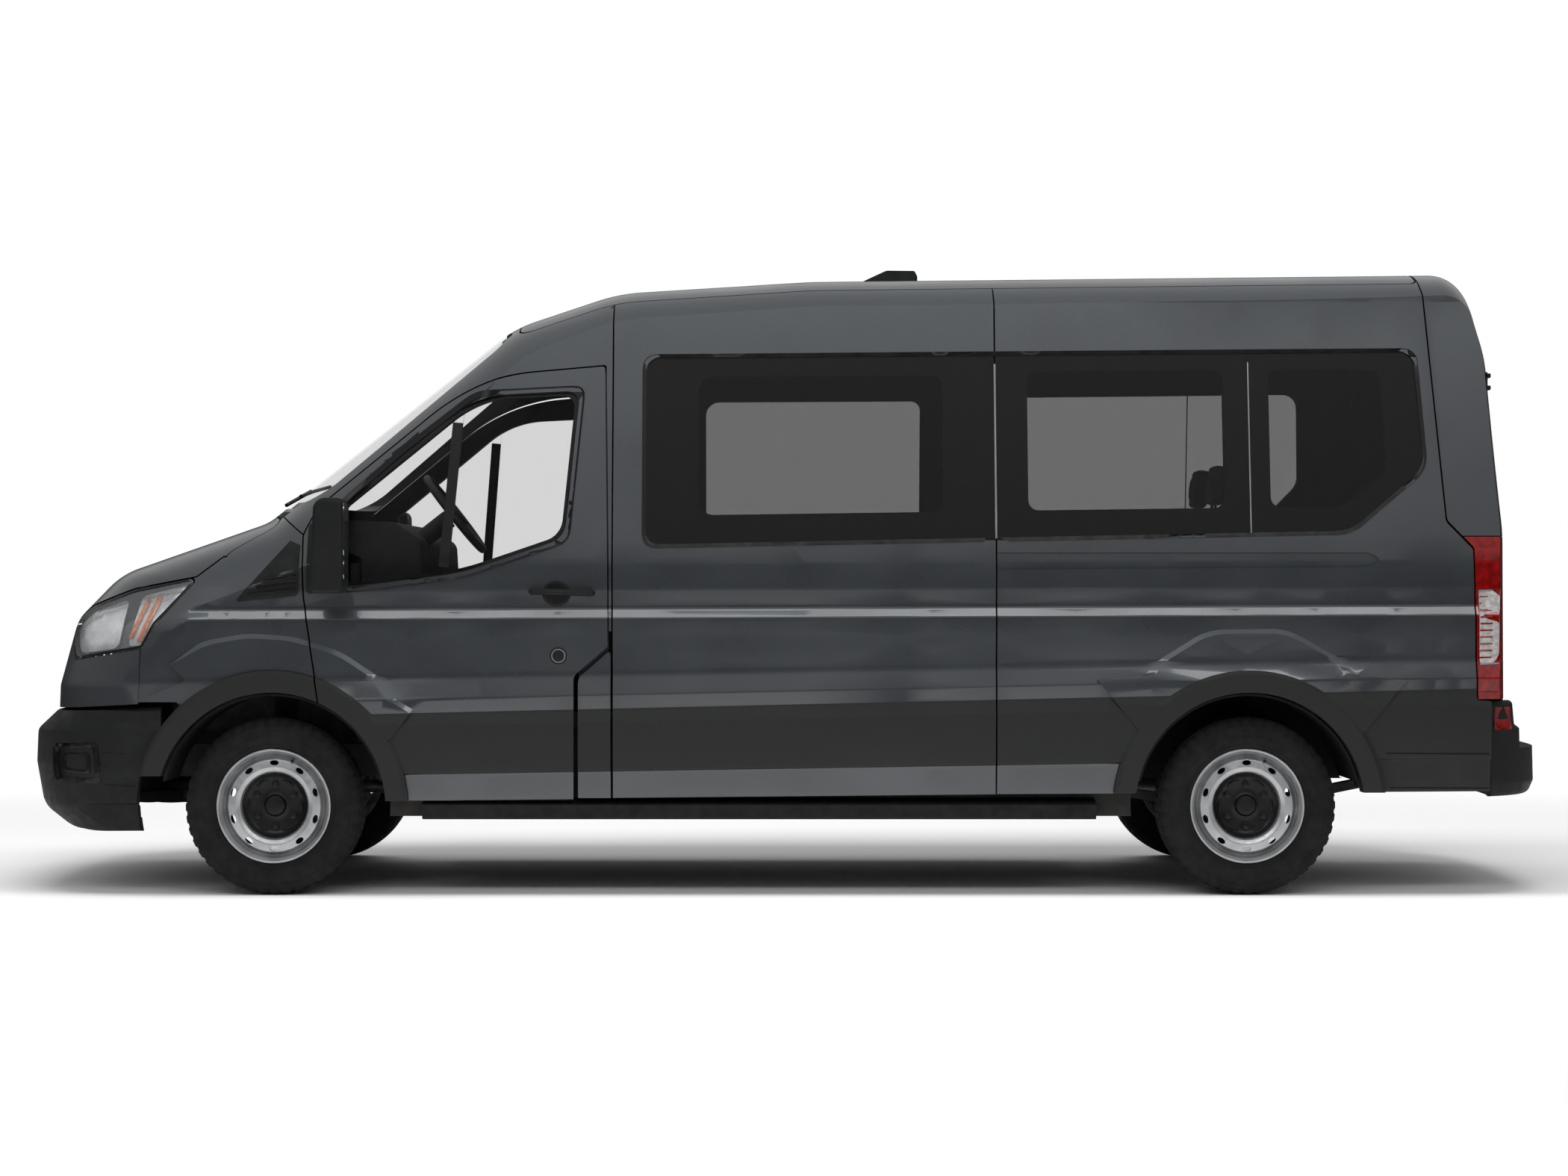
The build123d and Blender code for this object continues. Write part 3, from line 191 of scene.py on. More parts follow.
vary(LAMP_WHITE, 60, srgb(165, 162, 160), srgb(205, 204, 202), "Base Color")
AMBER = new_material("lamp_amber", srgb(205, 112, 62), 0.18, 0, Coat_Weight=0.8)
vary(AMBER, 70, srgb(180, 88, 48), srgb(222, 140, 90), "Base Color")
REFLECTOR = metal("lamp_reflector", srgb(236, 238, 240), srgb(205, 207, 210), 0.25, 0.4, 120, 0.05)
MIRROR = metal("mirror_glass", srgb(200, 203, 206), srgb(188, 190, 194), 0.08, 0.98, 40, 0.01)
STEEL = metal("wheel_silver", srgb(186, 188, 190), srgb(170, 172, 174), 0.36, 0.7)
# Darker copy of the wheel silver: painted shade for the rim channel and the inboard side of the rim.
SHADED_STEEL = metal("wheel_well_silver", srgb(120, 121, 122), srgb(92, 92, 93), 0.5, 0.6)
BARE = metal("bare_steel", srgb(128, 128, 130), srgb(92, 90, 88), 0.42, 0.9, 300, 0.2)
CAST = metal("cast_metal", srgb(104, 104, 106), srgb(80, 80, 82), 0.62, 0.6, 500, 0.5)
RUBBER = plastic("tyre_rubber", srgb(13, 13, 14), srgb(21, 20, 20), 0.8, 700, 0.3)
LEATHER = new_material("wheel_leather", srgb(26, 26, 27), 0.5)
vary(LEATHER, 40, srgb(22, 22, 23), srgb(34, 34, 35), "Base Color")
grain(LEATHER, 700, 0.5, 0.0006, "ShaderNodeTexVoronoi")
FABRIC = new_material("seat_fabric", srgb(52, 52, 55), 0.9, 0, Sheen_Weight=0.3)
vary(FABRIC, 30, srgb(44, 44, 47), srgb(60, 60, 63), "Base Color")
grain(FABRIC, 900, 0.5, 0.0008, "ShaderNodeTexVoronoi")


def cladding_mask(tree):
    """1 where a side panel is black: the flares, the band between the axles and all below it
    behind the rear axle. It reads the place on the object, in the row frame."""
    place = tree.nodes.new("ShaderNodeTexCoord")
    split = tree.nodes.new("ShaderNodeSeparateXYZ")
    tree.links.new(place.outputs["Object"], split.inputs[0])
    x, y, z = split.outputs

    def math_node(operation, *values):
        node = tree.nodes.new("ShaderNodeMath")
        node.operation = operation
        for socket, value in zip(node.inputs, values):
            if isinstance(value, (int, float)):
                socket.default_value = value
            else:
                tree.links.new(value, socket)
        return node.outputs[0]

    def line(low, high):
        slope = (high - low) / (AXLES_X[1] - AXLES_X[0])
        return math_node("MULTIPLY_ADD", x, slope, low - slope * AXLES_X[0])

    under = math_node("LESS_THAN", z, line(*BAND_TOP))
    over = math_node("GREATER_THAN", z, line(*BAND_FOOT))
    behind = math_node("GREATER_THAN", x, AXLES_X[1])
    black = math_node("MULTIPLY", under, math_node("MAXIMUM", over, behind))
    for axle in AXLES_X:
        du, dv = math_node("SUBTRACT", x, axle), math_node("SUBTRACT", z, AXLE_Z)
        square = math_node("ADD", math_node("MULTIPLY", du, du), math_node("MULTIPLY", dv, dv))
        black = math_node("MAXIMUM", black, math_node("LESS_THAN", square, FLARE_RADIUS**2))
    side = math_node("GREATER_THAN", math_node("ABSOLUTE", y), CLADDING_Y)
    return math_node("MULTIPLY", black, side)


def two_tone(name):
    """Body paint above and grained black cladding below, on the panels that have both."""
    material = painted(name, srgb(74, 78, 82), srgb(58, 61, 64))
    tree = material.node_tree
    shader = tree.nodes["Principled BSDF"]
    mask = cladding_mask(tree)
    for key, black in (("Base Color", BLACK_CLADDING), ("Roughness", 0.6), ("Metallic", 0.0), ("Coat Weight", 0.0)):
        socket = shader.inputs[key]
        mix = tree.nodes.new("ShaderNodeMix")
        mix.data_type = "RGBA" if key == "Base Color" else "FLOAT"
        kind = "_Color" if key == "Base Color" else "_Float"
        first, second = [next(i for i in mix.inputs if i.identifier == letter + kind) for letter in "AB"]
        tree.links.new(mask, mix.inputs[0])
        if socket.links:
            tree.links.new(socket.links[0].from_socket, first)
        else:
            first.default_value = socket.default_value
        second.default_value = black
        tree.links.new(next(o for o in mix.outputs if o.identifier == "Result" + kind), socket)
    return material


TWO_TONE = two_tone("two_tone_paint")

NODE_MATERIAL = {
    "side_glass": TINTED,
    "left_rear_door_glass": TINTED,
    "right_rear_door_glass": TINTED,
    "left_front_door_glass": CLEAR,
    "right_front_door_glass": CLEAR,
    "windscreen": CLEAR,
    "left_mirror": CLADDING,
    "right_mirror": CLADDING,
    "cowl_panel": CLADDING,
    "headlamps": LAMP_CLEAR,
    "grille": TRIM,
    "front_bumper": CLADDING,
    "rear_bumper": CLADDING,
    "tail_lamps": LAMP_RED,
    "antenna": CLADDING,
    "floor_pan": UNDERBODY,
    "side_skirts": SKIRT,
    "chassis_rails": UNDERBODY,
    "wheel_liners": SKIRT,
    "front_suspension": UNDERBODY,
    "left_knuckle": BARE,
    "right_knuckle": BARE,
    "rear_axle": UNDERBODY,
    "drive_shaft": BARE,
    "exhaust": BARE,
    "fuel_tank": INNER_PLASTIC,
    "engine_block": CAST,
    "dashboard": INNER_PLASTIC,
    "steering_wheel": LEATHER,
}


# The CAD nodes: smooth shading, and a material for each face where a node has two



def at(x):
    """Place along the van in the row frame, of a side view place measured from mid wheelbase."""
    return x + ROW_SHIFT


def outline(points):
    return [(at(x), z) for x, z in points]


SIDE_GLASS = outline([(-0.452, 1.337), (2.27, 1.39), (2.567, 1.64), (2.537, 2.107), (-0.452, 2.082)])
DOOR_WINDOW = outline([
    (-0.752, 1.373), (-0.690, 1.95), (-1.097, 1.932), (-1.375, 1.74), (-1.62, 1.505), (-1.618, 1.178),
    (-1.495, 1.187), (-1.14, 1.236),
])
REAR_WINDOW = [(-0.775, 1.425), (-0.085, 1.425), (-0.085, 2.055), (-0.705, 2.045)]


def inside(point, corners):
    """Whether a point of two coordinates is within a closed outline."""
    u, v = point
    found = False
    for (u0, v0), (u1, v1) in zip(corners, corners[1:] + corners[:1]):
        if (v0 > v) != (v1 > v) and u < (u1 - u0) * (v - v0) / (v1 - v0) + u0:
            found = not found
    return found


def faces_inward(polygon):
    """Whether a face of a body panel looks into the van."""
    centre = polygon.center
    outward = centre - Vector((centre.x * 0.75, 0, 1.25))
    return polygon.normal.dot(outward.normalized()) < -0.45


def side_choice(polygon):
    centre = polygon.center
    spot = (centre.x, centre.z)
    if faces_inward(polygon):
        return HEADLINER
    if abs(centre.y) > 0.8 and (inside(spot, SIDE_GLASS) or inside(spot, DOOR_WINDOW)):
        return TRIM
    return TWO_TONE


def shell_choice(polygon):
    return HEADLINER if faces_inward(polygon) else PAINT


def rear_choice(polygon):
    centre = polygon.center
    if inside((-abs(centre.y), centre.z), REAR_WINDOW):
        return TRIM
    return HEADLINER if polygon.normal.x < -0.45 else PAINT


def frame_choice(polygon):
    centre = polygon.center
    if abs(centre.y) < 0.8 and polygon.normal.x > -0.2 and centre.x > at(-0.75):
        return HEADLINER
    if faces_inward(polygon):
        return HEADLINER
    return TWO_TONE


def rim_choice(polygon):
    """Bright disc and flange, a darker copy of the silver as painted shade on the channel between them and on the
    inboard side, and a black cap.
    """
    centre = polygon.center
    axle = min(AXLES_X, key=lambda x: abs(x - centre.x))
    radius = math.hypot(centre.x - axle, centre.z - AXLE_Z)
    out = abs(centre.y) - WHEEL_Y
    if radius < 0.121 and out > 0.01:
        return TRIM
    if 0.178 < radius < 0.2 and out > 0 or out < 0:
        return SHADED_STEEL
    return STEEL


def dress(node, choice):
    """Gives a CAD node its material, or the one that a rule picks for each of its faces."""
    mesh = node.data
    mesh.materials.clear()
    if not callable(choice):
        mesh.materials.append(choice)
    used = {}
    for polygon in mesh.polygons:
        polygon.use_smooth = True
        polygon.material_index = 0
        if callable(choice):
            material = choice(polygon)
            if material.name not in used:
                used[material.name] = len(used)
                mesh.materials.append(material)
            polygon.material_index = used[material.name]
    weld = node.modifiers.new("weld", "WELD")
    weld.merge_threshold = 0.00005
    split = node.modifiers.new("edges", "EDGE_SPLIT")
    split.split_angle = math.radians(28)


SIDE_NODES = (
    "left_side_panel", "sliding_door", "left_quarter_panel", "right_quarter_panel",
    "left_front_door", "right_front_door", "left_fender", "right_fender",
)
for name, node in NODES.items():
    if name in SIDE_NODES:
        dress(node, side_choice)
    elif name == "cab_frame":
        dress(node, frame_choice)
    elif name in ("left_rear_door", "right_rear_door"):
        dress(node, rear_choice)
    elif name in ("roof_panel", "rear_frame", "bonnet", "front_fascia"):
        dress(node, shell_choice)
    elif name.endswith("_rim"):
        dress(node, rim_choice)
    elif name.endswith("_tyre"):
        dress(node, RUBBER)
    elif name in ("front_seats", "rear_benches"):
        dress(node, FABRIC)
    else:
        dress(node, NODE_MATERIAL[name])




# Helpers for the pieces that only the picture has

LOOKS = {
    # view: start of a ray at u, v and its direction
    "left": (lambda u, v: (u, -3, v), (0, 1, 0)),
    "right": (lambda u, v: (u, 3, v), (0, -1, 0)),
    "front": (lambda u, v: (-5, u, v), (1, 0, 0)),
    "rear": (lambda u, v: (5, u, v), (-1, 0, 0)),
    "top": (lambda u, v: (u, v, 4), (0, 0, -1)),
}


def finish(mesh, name, material, body, bevel=0.0, angle=35):
    """Object of a mesh, with its material, smooth shading and the body that it rides on."""
    piece = bpy.data.objects.new(name, mesh)
    SCENE.collection.objects.link(piece)
    for one in material if isinstance(material, (list, tuple)) else [material]:
        mesh.materials.append(one)
    for polygon in mesh.polygons:
        polygon.use_smooth = True
    if bevel:
        rounding = piece.modifiers.new("bevel", "BEVEL")
        rounding.width = bevel
        rounding.segments = 2
        rounding.limit_method = "ANGLE"
        rounding.angle_limit = math.radians(40)
    split = piece.modifiers.new("edges", "EDGE_SPLIT")
    split.split_angle = math.radians(angle)
    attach(piece, body)
    return piece


def surface_of(names):
    """Search tree over the faces of some CAD nodes."""
    joined = bmesh.new()
    for name in names:
        joined.from_mesh(NODES[name].data)
    tree = BVHTree.FromBMesh(joined)
    joined.free()
    return tree


def closer(points, step):
    """The points of a closed outline, with more between those far apart."""
    result = []
    for (u0, v0), (u1, v1) in zip(points, points[1:] + points[:1]):
        count = max(1, round(math.hypot(u1 - u0, v1 - v0) / step))
        result += [(u0 + (u1 - u0) * i / count, v0 + (v1 - v0) * i / count) for i in range(count)]
    return result


def rounded(points, radius, steps=4):
    """A closed outline with its corners cut to arcs."""
    result = []
    for i, (u, v) in enumerate(points):
        before, after = points[i - 1], points[(i + 1) % len(points)]
        ends = []
        for u1, v1 in (before, after):
            length = math.hypot(u1 - u, v1 - v)
            reach = min(radius, length * 0.45)
            ends.append((u + (u1 - u) * reach / length, v + (v1 - v) * reach / length))
        for k in range(steps + 1):
            t = k / steps
            weights = ((1 - t) ** 2, 2 * t * (1 - t), t**2)
            spots = (ends[0], (u, v), ends[1])
            result.append(tuple(sum(w * spot[c] for w, spot in zip(weights, spots)) for c in (0, 1)))
    return result


def oval(u, v, width, height, count=24):
    turns = [2 * math.pi * i / count for i in range(count)]
    return [(u + width / 2 * math.cos(t), v + height / 2 * math.sin(t)) for t in turns]


def rect(u0, u1, v0, v1):
    return [(u0, v0), (u1, v0), (u1, v1), (u0, v1)]


def strip(points, width):
    """Outline of a band of a width along an open line of points."""
    sides = ([], [])
    for i, (u, v) in enumerate(points):
        u0, v0 = points[max(0, i - 1)]
        u1, v1 = points[min(len(points) - 1, i + 1)]
        length = math.hypot(u1 - u0, v1 - v0)
        du, dv = -(v1 - v0) / length * width / 2, (u1 - u0) / length * width / 2
        sides[0].append((u + du, v + dv))
        sides[1].append((u - du, v - dv))
    return sides[0] + sides[1][::-1]


def lay(mesh, tree, view, loops, rise, sink, step):
    """Adds to a mesh a thin solid that lies on the surface, filling a loop around holes."""
    start, way = LOOKS[view]
    way = Vector(way)
    flat, edges = [], []
    for loop in loops:
        loop = closer(loop, step)
        first = len(flat)
        flat += loop
        edges += [(first + i, first + (i + 1) % len(loop)) for i in range(len(loop))]
    us, vs = [p[0] for p in flat], [p[1] for p in flat]
    rows, columns = int((max(vs) - min(vs)) / step), int((max(us) - min(us)) / step)
    for i in range(1, columns):
        for j in range(1, rows):
            spot = (min(us) + i * step, min(vs) + j * step)
            if inside(spot, loops[0]) and not any(inside(spot, hole) for hole in loops[1:]):
                flat.append(spot)
    spots, _, faces, *_ = delaunay_2d_cdt([Vector(p) for p in flat], edges, [], 0, 1e-6)
    rims = []
    for spot in spots:
        hit = tree.ray_cast(Vector(start(*spot)), way)[0]
        if hit is None:
            rims.append(None)
        else:
            rims.append((mesh.verts.new(hit - way * rise), mesh.verts.new(hit + way * sink)))
    middles = [sum((spots[i] for i in face), Vector((0, 0))) / 3 for face in faces]
    faces = [
        list(face) for face, middle in zip(faces, middles)
        if all(rims[i] for i in face) and inside(middle, loops[0]) and not any(inside(middle, hole) for hole in loops[1:])
    ]
    for face in faces:
        a, b, c = [rims[i][0].co for i in face[:3]]
        if (b - a).cross(c - a).dot(way) > 0:
            face.reverse()
        mesh.faces.new([rims[i][0] for i in face])
        mesh.faces.new([rims[i][1] for i in reversed(face)])
    borders = {pair for face in faces for pair in zip(face, face[1:] + face[:1])}
    for i, j in borders:
        if (j, i) not in borders:
            mesh.faces.new([rims[j][0], rims[i][0], rims[i][1], rims[j][1]])
    bmesh.ops.delete(mesh, geom=[vertex for vertex in mesh.verts if not vertex.link_faces], context="VERTS")


def plate(name, view, loops, material, over, rise=0.003, sink=0.004, step=0.04, body="van", slot="dark_cladding",
          bevel=0.0008):
    """Pieces that lie on the outer surface of some nodes. Each entry of loops is an outline, or
    a list of an outline and its holes."""
    tree = surface_of(over)
    shape = bmesh.new()
    for entry in loops:
        lay(shape, tree, view, entry if isinstance(entry[0], list) else [entry], rise, sink, step)
    mesh = bpy.data.meshes.new(name)
    shape.to_mesh(mesh)
    shape.free()
    return finish(mesh, name, material, body, bevel)


def both_plates(name, loops, material, over, body="van", **settings):
    """The same pieces on the left and on the right side; names and bodies start with the side."""
    for side, _ in SIDES:
        nodes = [node.replace("SIDE", side) for node in over]
        plate(f"{side}_{name}", side, loops, material, nodes, body=body.replace("SIDE", side), **settings)


def turned(name, profile, centre, material, body, count=96, out=-1, angle=30):
    """Turned piece about a line across the van. profile holds distances outboard and radii."""
    shape = bmesh.new()
    rings = []
    for i in range(count):
        turn = 2 * math.pi * i / count
        rings.append([
            shape.verts.new((centre[0] + r * math.cos(turn), centre[1] + out * d, centre[2] + r * math.sin(turn)))
            for d, r in profile
        ])
    for ring, after in zip(rings, rings[1:] + rings[:1]):
        for j in range(len(profile)):
            k = (j + 1) % len(profile)
            shape.faces.new([ring[j], ring[k], after[k], after[j]])
    bmesh.ops.recalc_face_normals(shape, faces=shape.faces)
    mesh = bpy.data.meshes.new(name)
    shape.to_mesh(mesh)
    shape.free()
    return finish(mesh, name, material, body, angle=angle)


def rod(shape, points, radius, sides=10, flat=1.0):
    """Adds to a mesh a round or flattened bar along a line, with closed ends."""
    points = [Vector(p) for p in points]
    rings = []
    for i, point in enumerate(points):
        way = (points[min(i + 1, len(points) - 1)] - points[max(i - 1, 0)]).normalized()
        across = way.cross(Vector((0, 1, 0.01)))
        if across.length < 0.2:
            across = way.cross(Vector((0, 0, 1)))
        across.normalize()
        other = way.cross(across)
        turns = [2 * math.pi * k / sides for k in range(sides)]
        rings.append([
            shape.verts.new(point + across * radius * math.cos(t) + other * radius * flat * math.sin(t)) for t in turns
        ])
    for ring, after in zip(rings, rings[1:]):
        for k in range(sides):
            shape.faces.new([ring[k], ring[(k + 1) % sides], after[(k + 1) % sides], after[k]])
    shape.faces.new(rings[0][::-1])
    shape.faces.new(rings[-1])


def rods(name, lines, radius, material, body="van", flat=1.0, bevel=0.0, sides=10):
    shape = bmesh.new()
    for points in lines:
        rod(shape, points, radius, sides, flat)
    bmesh.ops.recalc_face_normals(shape, faces=shape.faces)
    mesh = bpy.data.meshes.new(name)
    shape.to_mesh(mesh)
    shape.free()
    return finish(mesh, name, material, body, bevel)


def block(shape, low, high, turn=None):
    """Adds a box to a mesh; turn is a matrix that then moves it."""
    made = bmesh.ops.create_cube(shape, size=1)["verts"]
    middle = (Vector(low) + Vector(high)) / 2
    size = Vector(high) - Vector(low)
    place = Matrix.Translation(middle) @ Matrix.Diagonal((*size, 1))
    bmesh.ops.transform(shape, matrix=(turn @ place if turn else place), verts=made)


def blocks(name, boxes, material, body="van", bevel=0.002, turn=None):
    shape = bmesh.new()
    for low, high in boxes:
        block(shape, low, high, turn)
    mesh = bpy.data.meshes.new(name)
    shape.to_mesh(mesh)
    shape.free()
    return finish(mesh, name, material, body, bevel)


def grown(points, distance):
    """A closed outline moved outward by a distance; inward where the distance is negative."""
    turn = sum(u0 * v1 - u1 * v0 for (u0, v0), (u1, v1) in zip(points, points[1:] + points[:1]))
    distance = math.copysign(1, turn) * distance
    result = []
    for i, (u, v) in enumerate(points):
        normals = []
        for (u0, v0), (u1, v1) in ((points[i - 1], (u, v)), ((u, v), points[(i + 1) % len(points)])):
            length = math.hypot(u1 - u0, v1 - v0)
            normals.append(((v1 - v0) / length, (u0 - u1) / length))
        nu, nv = normals[0][0] + normals[1][0], normals[0][1] + normals[1][1]
        share = distance * 2 / max(nu * nu + nv * nv, 0.6)
        result.append((u + nu * share, v + nv * share))
    return result


def ring(points, outward, inward, radius=0.03):
    """An outline with a hole, as a band on both sides of a closed line."""
    return [rounded(grown(points, outward), radius), rounded(grown(points, -inward), radius)]


# Wheels: tyres with tread blocks, caps and nuts

TREAD_STEPS = 264
TREAD_DEPTH = 0.008
TYRE_SECTION = [
    # distance outboard, radius, which groove the point belongs to
    (-0.086, 0.2235, ""), (-0.094, 0.2235, ""), (-0.104, 0.232, ""), (-0.1125, 0.252, ""), (-0.1165, 0.281, ""),
    (-0.1125, 0.306, ""), (-0.107, 0.318, "side"), (-0.099, 0.329, "side"), (-0.088, 0.3385, "side"),
    (-0.068, 0.3405, "side"), (-0.062, 0.3405, "ring"), (-0.052, 0.3408, "ring"), (-0.048, 0.3412, ""),
    (-0.030, 0.3415, "middle"), (-0.010, 0.3417, "middle"), (-0.006, 0.3417, "ring"), (0.006, 0.3417, "ring"),
    (0.010, 0.3417, "middle"), (0.030, 0.3415, "middle"), (0.048, 0.3412, ""), (0.052, 0.3408, "ring"),
    (0.062, 0.3405, "ring"), (0.068, 0.3405, "side"), (0.088, 0.3385, "side"), (0.099, 0.329, "side"),
    (0.107, 0.318, "side"), (0.1118, 0.309, ""), (0.1142, 0.303, ""), (0.1126, 0.300, ""), (0.1150, 0.294, ""),
    (0.1165, 0.281, ""), (0.1155, 0.268, ""), (0.1163, 0.266, ""), (0.1150, 0.262, ""), (0.1130, 0.252, ""),
    (0.1085, 0.2405, ""), (0.1100, 0.2385, ""), (0.1050, 0.232, ""), (0.0945, 0.2235, ""), (0.086, 0.2235, ""),
    (0.064, 0.2085, ""), (-0.064, 0.2085, ""),
]


def tyre(name, x, side, body):
    shape = bmesh.new()
    rings = []
    for i in range(TREAD_STEPS):
        turn = 2 * math.pi * i / TREAD_STEPS
        spots = []
        for out, radius, groove in TYRE_SECTION:
            late = (i + (3 if out > 0 else 0)) % 6
            low = groove == "ring" or groove == "side" and late < 2 or groove == "middle" and (i + 1) % 4 == 0
            reach = radius - (TREAD_DEPTH if groove == "ring" else 0.0055) * low
            spots.append(shape.verts.new((
                x + reach * math.cos(turn), side * (WHEEL_Y + out), AXLE_Z + reach * math.sin(turn))))
        rings.append(spots)
    count = len(TYRE_SECTION)
    for spots, after in zip(rings, rings[1:] + rings[:1]):
        for j in range(count):
            k = (j + 1) % count
            shape.faces.new([spots[j], spots[k], after[k], after[j]])
    bmesh.ops.recalc_face_normals(shape, faces=shape.faces)
    mesh = bpy.data.meshes.new(name)
    shape.to_mesh(mesh)
    shape.free()
    piece = finish(mesh, name, RUBBER, body, angle=38)
    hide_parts(body.replace("wheel", "tyre"))


CAP_SECTION = [
    (0.022, 0.0), (0.052, 0.0), (0.053, 0.028), (0.051, 0.036), (0.045, 0.041), (0.040, 0.043), (0.038, 0.047),
    (0.036, 0.060), (0.038, 0.074), (0.039, 0.090), (0.042, 0.104), (0.048, 0.114), (0.055, 0.119),
    (0.057, 0.1215), (0.055, 0.1235), (0.046, 0.122), (0.030, 0.104), (0.026, 0.060),
]
NUT_RADIUS = 0.080
NUTS = 6


def wheel_parts(row, side_name, side, x):
    body = f"{row}_{side_name}_wheel"
    centre = (x, side * WHEEL_Y, AXLE_Z)
    tyre(f"{body}_tyre", x, side, body)
    turned(f"{body}_cap", CAP_SECTION, centre, TRIM, body, 72, side)
    shape = bmesh.new()
    for i in range(NUTS):
        turn = 2 * math.pi * (i + 0.5) / NUTS
        spot = Vector((x + NUT_RADIUS * math.cos(turn), side * (WHEEL_Y + 0.036), AXLE_Z + NUT_RADIUS * math.sin(turn)))
        rod(shape, [spot, spot + Vector((0, side * 0.010, 0))], 0.0145, 6)
        rod(shape, [spot, spot + Vector((0, side * 0.016, 0))], 0.0105, 16)
        lift = 2 * math.pi * i / NUTS
        line = []
        for k in range(-3, 4):
            turn = lift + k * 0.085
            line.append((x + 0.101 * math.cos(turn), side * (WHEEL_Y + 0.0445 - 0.0006 * k * k), AXLE_Z + 0.101 * math.sin(turn)))
        rod(shape, line, 0.0045, 8)
    bmesh.ops.recalc_face_normals(shape, faces=shape.faces)
    mesh = bpy.data.meshes.new(f"{body}_nuts")
    shape.to_mesh(mesh)
    shape.free()
    finish(mesh, f"{body}_nuts", TRIM, body, 0.001)
    turn = math.radians(68)
    reach = (0.187 * math.cos(turn), 0.187 * math.sin(turn))
    root = Vector((x + reach[0], side * (WHEEL_Y + 0.058), AXLE_Z + reach[1]))
    rods(f"{body}_valve", [[root, root + Vector((0, side * 0.03, 0))]], 0.0045, TRIM, body)


for row, x in zip(("front", "rear"), AXLES_X):
    for side_name, side in SIDES:
        wheel_parts(row, side_name, side, x)


# Inner walls of the rear wheel arches, over the springs

def arch_wall(name, side):
    turns = [math.pi * i / 32 for i in range(33)]
    lowest = 0.09
    low = [(0.425 * math.cos(t), max(0.425 * math.sin(t), lowest)) for t in turns]
    shape = bmesh.new()
    faces = []
    for y in (0.606, 0.612):
        spots = [shape.verts.new((AXLES_X[1] + u, side * y, AXLE_Z + v)) for u, v in low]
        faces.append(spots)
        shape.faces.new(spots)
    for i in range(len(low)):
        k = (i + 1) % len(low)
        shape.faces.new([faces[0][i], faces[0][k], faces[1][k], faces[1][i]])
    bmesh.ops.recalc_face_normals(shape, faces=shape.faces)
    mesh = bpy.data.meshes.new(name)
    shape.to_mesh(mesh)
    shape.free()
    finish(mesh, name, SKIRT, "van", 0.002)


for side_name, side in SIDES:
    arch_wall(f"rear_{side_name}_arch_wall", side)


# Seats: a crowned pad for each place, with piping and the frame under it

def pad(name, centre, size, lean, channels, crown, body="van"):
    """A crowned cushion. size is along x, across y and up z before it leans about the y axis; its
    outer side is up. channels are sewn lines as shares of the width."""
    shape = bmesh.new()
    bmesh.ops.create_cube(shape, size=2)
    bmesh.ops.subdivide_edges(shape, edges=shape.edges[:], cuts=15, use_grid_fill=True)
    turn = Matrix.Rotation(lean, 3, "Y")
    half = Vector(size) / 2
    for vertex in shape.verts:
        a, b, c = vertex.co
        power = 5
        pull = (abs(a) ** power + abs(b) ** power + abs(c) ** power) ** (-1 / power)
        longest = max(abs(a), abs(b), abs(c))
        a, b, c = a * pull * longest, b * pull * longest, c * pull * longest
        waist = 1 - 0.02 * (1 - b * b)
        rise = crown * (1 - a * a) * (1 - b * b) if c > 0 else 0
        sewn = sum(math.exp(-(((b - line) * half.y / 0.009) ** 2)) for line in channels)
        sewn += math.exp(-(((abs(a) - 0.62) * half.x / 0.008) ** 2)) * (abs(b) < 0.9)
        spot = Vector((a * half.x * waist, b * half.y, c * (half.z - crown) + rise - 0.006 * min(sewn, 1) * (c > 0.5)))
        vertex.co = Vector(centre) + turn @ spot
    mesh = bpy.data.meshes.new(name)
    shape.to_mesh(mesh)
    shape.free()
    piece = finish(mesh, name, FABRIC, body, angle=60)
    piece.modifiers.remove(piece.modifiers["edges"])
    smooth = piece.modifiers.new("smooth", "SUBSURF")
    smooth.levels = smooth.render_levels = 1
    return piece


def seat(name, x, y, width, base, cushion, top, rests, places, node):
    """One seat or bench: cushion, back and headrests as pads, on a plain base with two legs."""
    pads = []
    share = width / places
    for i in range(places):
        middle = y - width / 2 + share * (i + 0.5)
        size = share - 0.006
        pads.append(pad(f"{name}_cushion_{i}", (x - 0.215, middle, (base + cushion) / 2 + 0.018),
                        (0.50, size, cushion - base - 0.012), math.radians(2), (-0.45, 0.45), 0.018))
        tall = top - cushion + 0.05
        lean = math.atan(0.22)
        pads.append(pad(f"{name}_back_{i}", (x + 0.052, middle, cushion + tall / 2 - 0.045),
                        (tall - 0.01, size, 0.088), lean - math.pi / 2, (-0.45, 0.45), 0.012))
    for i, middle in enumerate(rests):
        lean = (top - cushion) * 0.22
        pads.append(pad(f"{name}_headrest_{i}", (x + 0.0125 + lean, middle, top + 0.1175),
                        (0.16, 0.25, 0.08), math.atan(0.12) - math.pi / 2, (), 0.010))
    for piece in pads:
        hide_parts(node)
    lean = (top - cushion) * 0.22
    posts = [[(x + lean, middle + shift, top - 0.04), (x + lean, middle + shift, top + 0.06)]
             for middle in rests for shift in (-0.05, 0.05)]
    if posts:
        rods(f"{name}_posts", posts, 0.006, BARE)
    half = width / 2
    floor = 0.692
    frame_boxes = [((x - 0.40, y - half + 0.03, base - 0.035), (x - 0.02, y + half - 0.03, base + 0.02))]
    for leg in (y - half + 0.09, y + half - 0.13):
        frame_boxes.append(((x - 0.38, leg, floor), (x - 0.08, leg + 0.04, base - 0.02)))
        frame_boxes.append(((x - 0.40, leg - 0.012, floor), (x - 0.06, leg + 0.052, floor + 0.022)))
    piece = blocks(f"{name}_frame", frame_boxes, INNER_PLASTIC, bevel=0.006)
    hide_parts(node)


